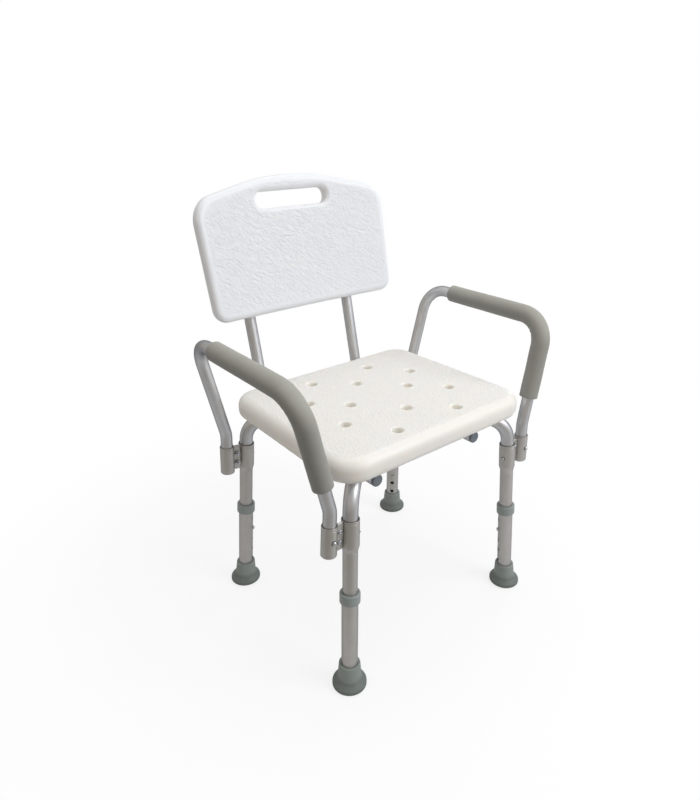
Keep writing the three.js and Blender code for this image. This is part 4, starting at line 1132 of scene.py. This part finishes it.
def upper_leg(corner="rear_right"):
    profile = [
        (LEG.upper_bore, LEG.upper_bottom), (LEG.upper_radius, LEG.upper_bottom),
        (LEG.upper_radius, LEG.swage_bottom, 9), (LEG.sleeve_radius, LEG.swage_top, 6),
        *bead(LEG.sleeve_radius, LEG.sleeve_top),
        (LEG.sleeve_radius, LEG.sleeve_top), (LEG.sleeve_bore, LEG.sleeve_top),
        (LEG.sleeve_bore, LEG.swage_top, 6), (LEG.upper_bore, LEG.swage_bottom, 9),
    ]
    tube = lathe(softened(profile, 0.4))
    height_hole = moved(button_hole(LEG.lower_radius), shift(0, 0, HEIGHT_BUTTON_Z) @ inward(corner))
    sleeve_hole = moved(button_hole(LEG.sleeve_radius), shift(0, 0, CROSS.button_height) @ SLEEVE)
    tube = moved(cut(tube, joined([height_hole, sleeve_hole])), on_leg())
    root = LEG.sleeve_bore - FIN.corner
    tip = ARM.socket_offset - ARM.socket_radius - FIN.clearance
    fin = moved(fin_plate(root, tip, -1), on_socket())
    room = moved(rod(LEG.sleeve_bore, LEG.swage_bottom, CROSS.height, ROUND), on_leg())
    return add(tube, cut(fin, room))


def lower_leg(corner="rear_right"):
    profile = [
        (LEG.lower_bore, LEG.lower_bottom), (LEG.lower_radius, LEG.lower_bottom),
        (LEG.lower_radius, LEG.lower_top), (LEG.lower_bore, LEG.lower_top),
    ]
    heights = [LEG.hole_first + i * LEG.hole_pitch for i in range(LEG.hole_count)]
    holes = [moved(button_hole(LEG.lower_radius), shift(0, 0, height) @ inward(corner)) for height in heights]
    return moved(cut(lathe(softened(profile, 0.35)), joined(holes)), on_leg())


def collar():
    bore = LEG.lower_radius + GAP
    profile = [
        (bore, COLLAR.bottom), (COLLAR.radius, COLLAR.bottom, 0.9), (COLLAR.radius, COLLAR.top, 2.2),
        (LEG.upper_radius + GAP, COLLAR.top, 0.6), (LEG.upper_radius + GAP, LEG.lower_top + GAP),
        (bore, LEG.lower_top + GAP),
    ]
    return moved(lathe(softened(profile, 0.3)), on_leg())


def foot():
    """A rubber foot: it stands flat, with grip rings underneath, while its cup leans with the leg."""
    bore, grip = LEG.lower_radius + GAP, FOOT.grip
    profile = [(0, grip), (FOOT.grip_start, grip)]
    for radius in FOOT.ring_radii:
        edge = radius + FOOT.ring_width
        profile += [(radius, 0, 0.3), (edge, 0, 0.3), (edge + 0.8, grip), (radius + FOOT.ring_room, grip)]
    profile += [
        (FOOT.flange - FOOT.sole_chamfer, 0, 0.5), (FOOT.flange, 2.4, 2), (FOOT.flange, 8.6, 3),
        (FOOT.flange - 5.5, 13.5, 2), (FOOT.waist + 2.2, 15.8, 3.5), (FOOT.waist, 24, 8),
        (FOOT.cup, FOOT.height, 1.4), (bore, FOOT.height, 0.8), (bore, FOOT.floor, 0), (0, FOOT.floor),
    ]
    mesh = lathe(softened(profile, 0.5))
    base = leg_point(1, 1, 0)
    for vert in mesh.vertices:
        lean = LEG.splay * vert.co.z
        vert.co.x += base.x - lean
        vert.co.y += base.y - lean
    return mesh


def snap_button(tube_bore, tip):
    """A domed button along +X, its flange behind the wall of the inner tube."""
    seat_at = math.sqrt(tube_bore**2 - BUTTON.flange**2) - GAP
    profile = [
        (0, seat_at - BUTTON.flange_thickness), (BUTTON.flange, seat_at - BUTTON.flange_thickness),
        (BUTTON.flange, seat_at), (BUTTON.radius, seat_at, 0.2), (BUTTON.radius, tip - BUTTON.dome, 1.6),
        (BUTTON.radius * BUTTON.crown, tip, 1.8), (0, tip),
    ]
    return moved(lathe(softened(profile, 0.25), SMALL_ROUND), TO_X)


def height_button(corner="rear_right"):
    button = snap_button(LEG.upper_bore, LEG.lower_radius + BUTTON.stand)
    return moved(button, on_leg(HEIGHT_BUTTON_Z) @ inward(corner))


def sleeve_button():
    button = snap_button(CROSS.bore, LEG.sleeve_radius + BUTTON.stand)
    return moved(button, on_leg(CROSS.button_height) @ SLEEVE)


def arm_button():
    button = snap_button(ARM.bore, ARM.socket_radius + BUTTON.stand)
    return moved(button, on_socket(ARM.socket_offset) @ turn(90, "Z"))


def arm_socket():
    profile = [
        (ARM.socket_lip, -ARM.socket_below), (ARM.socket_radius, -ARM.socket_below, 3.2),
        *bead(ARM.socket_radius, ARM.socket_above),
        (ARM.socket_radius, ARM.socket_above), (ARM.socket_bore, ARM.socket_above),
        (ARM.socket_bore, ARM.lip_thickness - ARM.socket_below, 1.6),
        (ARM.socket_lip, ARM.lip_thickness - ARM.socket_below),
    ]
    tube = cut(lathe(softened(profile, 0.4)), moved(button_hole(ARM.socket_radius), turn(90, "Z")))
    tube = moved(tube, shift(ARM.socket_offset, 0, 0))
    root = ARM.socket_offset - (ARM.socket_radius + ARM.socket_bore) / 2 + FIN.corner
    fin = fin_plate(LEG.sleeve_radius + FIN.clearance, root, 1)
    room = upright_rod(ARM.socket_bore, FIN.bottom - OVERCUT, FIN.top + OVERCUT, ARM.socket_offset, 0, ROUND)
    return moved(add(tube, cut(fin, room)), on_socket())


def fin_bolt():
    top = FIN_FACE + BOLT.head_height
    profile = [
        (0, BOLT.tip), (BOLT.shank - 0.6, BOLT.tip, 0), (BOLT.shank, BOLT.tip + 0.6, 0),
        (BOLT.shank, FIN_FACE, 0), (BOLT.head, FIN_FACE),
        (BOLT.head * 0.92, FIN_FACE + BOLT.head_height * 0.62, 1.2), (BOLT.head * 0.45, top, 1.2), (0, top),
    ]
    recess = hexagon(BOLT.recess, top - BOLT.recess_depth, top + OVERCUT)
    return cut(lathe(softened(profile, 0.3), SMALL_ROUND), recess)


def fin_nut():
    """A hexagon nut behind the fins, its corners turned down on both faces."""
    low, high = -FIN_FACE - BOLT.nut_height, -FIN_FACE
    flat, wide = BOLT.nut * 0.96, BOLT.nut * 1.2
    drop = BOLT.corner_drop
    turned = [(0, low), (flat, low), (wide, low + drop), (wide, high - drop), (flat, high), (0, high)]
    nut = boolean(hexagon(2 * BOLT.nut, low, high), lathe(turned), "INTERSECT")
    return cut(nut, rod(BOLT.shank + BOLT.thread_room, low - OVERCUT, high + OVERCUT))


def make_corners():
    for node, make, slot, own_body in (
        ("upper_leg", upper_leg, "anodised_aluminium", None),
        ("lower_leg", lower_leg, "anodised_aluminium", "leg"),
        ("collar", collar, "collar_plastic", "leg"),
        ("foot", foot, "rubber", "leg"),
        ("arm_socket", arm_socket, "anodised_aluminium", None),
        ("height_button", height_button, "zinc_steel", "height_button"),
        ("sleeve_button", sleeve_button, "zinc_steel", "sleeve_button"),
        ("arm_button", arm_button, "zinc_steel", "arm_button"),
    ):
        turned = make if make in (upper_leg, lower_leg, height_button) else None
        four_corners(node + "_{}", make(), slot, own_body, turned=turned)
    for level, height in FIN.bolts.items():
        on_fin = on_socket() @ shift(FIN_MIDDLE, 0, height) @ turn(-90, "X")
        four_corners("socket_bolt_{}_" + level, moved(fin_bolt(), on_fin), "zinc_steel")
        four_corners("socket_nut_{}_" + level, moved(fin_nut(), on_fin), "zinc_steel", standing_for=False)


# ------------------------------------------------------------------ armrests
def arm_path():
    """The right armrest's centre line, from its front socket over the top bar to its rear one."""
    def foot_point(sy, height):
        point = on_socket(ARM.socket_offset) @ Vector((0, 0, height))
        return Vector((point.x, sy * point.y, point.z))

    bottom = ARM.lip_thickness - ARM.socket_below + GAP
    knee = ARM.knee_height - ARM.socket_height
    corners = [foot_point(-1, bottom), foot_point(-1, knee)]
    corners += [Vector((ARM.top_x, sy * ARM.top_y, ARM.top_z)) for sy in (-1, 1)]
    corners += [foot_point(1, knee), foot_point(1, bottom)]
    return bent_path(corners, [ARM.knee_bend, ARM.top_bend, ARM.top_bend, ARM.knee_bend])


def evenly(stations, spacing):
    """The same path with stations a given distance apart."""
    found = [stations[0]]
    for (a, turn_a), (b, turn_b) in zip(stations, stations[1:]):
        count = max(1, round((b - a).length / spacing))
        for i in range(1, count + 1):
            share = i / count
            found.append((a.lerp(b, share), turn_a.lerp(turn_b, share).normalized()))
    return found


def pad_path(hand):
    """The stretch under the foam, between a height on the front leg and a place on the top bar."""
    dense = evenly(arm_path(), PAD.spacing)
    first = next(i for i, (point, _) in enumerate(dense) if point.z > ARM.pad_front[hand])
    last = next(i for i, (point, _) in enumerate(dense) if point.y > ARM.pad_rear[hand])
    return dense[first:last]


PAD = SimpleNamespace(rim=1.1, skin=3, shrink=0.38, spacing=1.5)  # skin: what counts as its outside
CREASE = SimpleNamespace(places=(-13, -1, 10), width=1.7, depth=1.5)  # gathers in the foam inside its bend
WAVES = [(38, 0.28), (12, 0.1)]  # length and height of the foam's soft waves


def arm_pad(hand):
    """A foam sleeve pushed onto the bent tube: rounded cut ends, soft waves, creased inside the bend."""
    stations = pad_path(hand)
    mesh = sweep(stations, ARM.pad_radius, ARM.radius + GAP, PAD_SIDES, PAD.rim)
    bend = [point for point, tangent in stations if 0.15 < tangent.z < 0.95]
    start, end = bend[0], bend[-1]
    middle, along = (start + end) / 2, (end - start).normalized()
    inner_side = (middle - Vector((ARM.top_x, -ARM.top_y, ARM.top_z))).normalized()
    for vert in mesh.vertices:
        point, tangent = min(stations, key=lambda s: (s[0] - vert.co).length_squared)
        spoke = vert.co - point
        spoke -= tangent * spoke.dot(tangent)
        if spoke.length < ARM.pad_radius - PAD.skin:
            continue
        direction = spoke.normalized()
        wave = sum(noise.noise(vert.co / length) * height for length, height in WAVES)
        inward = max(0.0, direction.dot(inner_side) - 0.15)
        place_on = (point - middle).dot(along)
        crease = sum(math.exp(-(((place_on - at) / CREASE.width) ** 2)) for at in CREASE.places)
        vert.co += direction * (wave - PAD.shrink - inward * CREASE.depth * min(crease, 1.0))
    return mesh


def make_armrests():
    tube = sweep(arm_path(), ARM.radius, ARM.bore)
    holes = [
        moved(button_hole(ARM.socket_radius), mirror(1, sy) @ on_socket(ARM.socket_offset) @ turn(90, "Z"))
        for sy in (-1, 1)
    ]
    tube = cut(tube, joined(holes))
    for hand, side in HANDS:
        body = f"armrest_{hand}"
        fine(f"arm_tube_{hand}", moved(tube.copy(), mirror(side, 1)), body, "satin_aluminium")
        foam = fine(f"arm_pad_{hand}", moved(arm_pad(hand), mirror(side, 1)), body, "foam")


def dress_kept_nodes():
    """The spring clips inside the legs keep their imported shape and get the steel's finish."""
    for corner, _, _ in CORNERS:
        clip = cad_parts[f"height_clip_{corner}"]
        for slot in clip.material_slots:
            slot.material = MATERIALS["spring_steel"]
        if not clip.material_slots:
            clip.data.materials.append(MATERIALS["spring_steel"])


# ------------------------------------------------------------------ studio, in metres and degrees
CAMERA = SimpleNamespace(
    lens=28.24, shift=(-0.0100, 0.0056), at=(-0.70743, -0.84474, 0.91645),
    azimuth=39.455, pitch=25.142, roll=0.117,
)
LIT_MIDDLE = (0, 0, 0.42)  # the middle of the chair, where the lights point
# name, place, size, power in watts, tint
LIGHTS = [
    ("key", (1.3, -2.3, 2.0), (1.8, 1.4), 43, (0.97, 0.985, 1.0)),
    ("overhead", (0.1, 0.1, 2.6), (2.2, 2.2), 19, (1.0, 1.0, 1.0)),
    ("side", (2.4, 0.6, 1.0), (1.0, 1.8), 8, (0.82, 0.9, 1.0)),
]
# its centre keeps a shadow; beyond fade_to it is as white as the surroundings
FLOOR = SimpleNamespace(half=12.0, fade_from=0.3, fade_to=1.0, nearest=0.78, front=(-0.635, -0.772, 0))


def make_camera():
    data = bpy.data.cameras.new("camera")
    data.lens = CAMERA.lens
    data.shift_x, data.shift_y = CAMERA.shift
    camera = bpy.data.objects.new("camera", data)
    bpy.context.scene.collection.objects.link(camera)
    azimuth, pitch = math.radians(CAMERA.azimuth), math.radians(CAMERA.pitch)
    level = math.cos(pitch)
    forward = Vector((math.sin(azimuth) * level, math.cos(azimuth) * level, -math.sin(pitch)))
    turned = forward.to_track_quat("-Z", "Y").to_matrix().to_4x4()
    camera.matrix_world = shift(*CAMERA.at) @ turned @ turn(CAMERA.roll, "Z")
    bpy.context.scene.camera = camera


def make_lights():
    for name, at, size, power, tint in LIGHTS:
        data = bpy.data.lights.new(name, "AREA")
        data.shape = "RECTANGLE"
        data.size, data.size_y = size
        data.energy = power
        data.color = tint
        light = bpy.data.objects.new(name, data)
        bpy.context.scene.collection.objects.link(light)
        light.location = at
        light.rotation_mode = "QUATERNION"
        light.rotation_quaternion = (Vector(LIT_MIDDLE) - Vector(at)).to_track_quat("-Z", "Y")


def grey(level):
    return (level, level, level, 1)


def mix_shaders(tree, output, share, first, second):
    """Sends a blend of two shaders to an output node."""
    mixed = make_node(tree, "MixShader", {0: share, 1: first, 2: second})
    tree.links.new(mixed.outputs["Shader"], output.inputs["Surface"])


def make_world():
    """White to the eye; the room that lights the chair is dimmer and warmer on its left and below."""
    world = bpy.data.worlds.new("studio")
    world.use_nodes = True
    tree = world.node_tree
    tree.nodes.clear()
    parts = split(tree, make_node(tree, "TexCoord").outputs["Generated"])
    across = remap(tree, parts["X"], -0.8, 0.8, 0, 1, smooth=True)
    upward = remap(tree, parts["Z"], -0.3, 0.7, 0, 1, smooth=True)
    sides = blend_colours(tree, across, (0.62, 0.51, 0.37, 1), (0.54, 0.56, 0.62, 1))
    lit = make_node(tree, "Background", {"Color": blend_colours(tree, upward, sides, grey(0.49))})
    seen = make_node(tree, "Background", {"Color": grey(1)})
    on_camera = make_node(tree, "LightPath").outputs["Is Camera Ray"]
    mix_shaders(tree, make_node(tree, "OutputWorld"), on_camera, lit.outputs[0], seen.outputs[0])
    bpy.context.scene.world = world


def make_floor():
    """A pale floor that keeps a soft shadow round the feet and fades into the white surroundings.

    What the chair's metal reflects of it is darker and warmer in front, as in a room.
    """
    half = FLOOR.half
    corners = [(-half, -half, 0), (half, -half, 0), (half, half, 0), (-half, half, 0)]
    data = bpy.data.meshes.new("floor")
    data.from_pydata(corners, [], [range(len(corners))])
    floor = bpy.data.objects.new("floor", data)
    bpy.context.scene.collection.objects.link(floor)
    material, tree, shader = new_material("floor", Roughness=0.9, Specular_IOR_Level=0.1)
    vector = place(tree)
    seen = make_node(tree, "LightPath").outputs["Is Camera Ray"]
    pale = blend_colours(tree, noise_field(tree, vector, scale=2.0, detail=2), grey(0.96), grey(0.97))
    dark = remap(tree, along(tree, vector, FLOOR.front), 0.35, 0.75, 0, 1, smooth=True)
    around = blend_colours(tree, dark, (0.66, 0.66, 0.67, 1), (0.33, 0.312, 0.285, 1))
    feed(tree, shader, Base_Color=blend_colours(tree, seen, around, pale))
    away = make_node(tree, "VectorMath", {0: vector}, operation="LENGTH").outputs["Value"]
    far = remap(tree, away, FLOOR.fade_from, FLOOR.fade_to, FLOOR.nearest, 1, smooth=True)
    white = make_node(tree, "Emission").outputs["Emission"]
    output = tree.nodes["Material Output"]
    mix_shaders(tree, output, times(tree, far, seen), shader.outputs["BSDF"], white)
    data.materials.append(material)


make_camera()
make_lights()
make_world()
make_floor()
bpy.context.scene.view_settings.view_transform = "Standard"

make_seat()
make_backrest()
make_back_screws()
make_cross_tube("cross_tube_upper", -1, 1)
make_cross_tube("cross_tube_lower", 1, -1)
for hand, side in HANDS:
    make_back_tube(hand, side)
    make_plugs(hand, side)
make_seat_bolts()
make_corners()
make_armrests()
dress_kept_nodes()
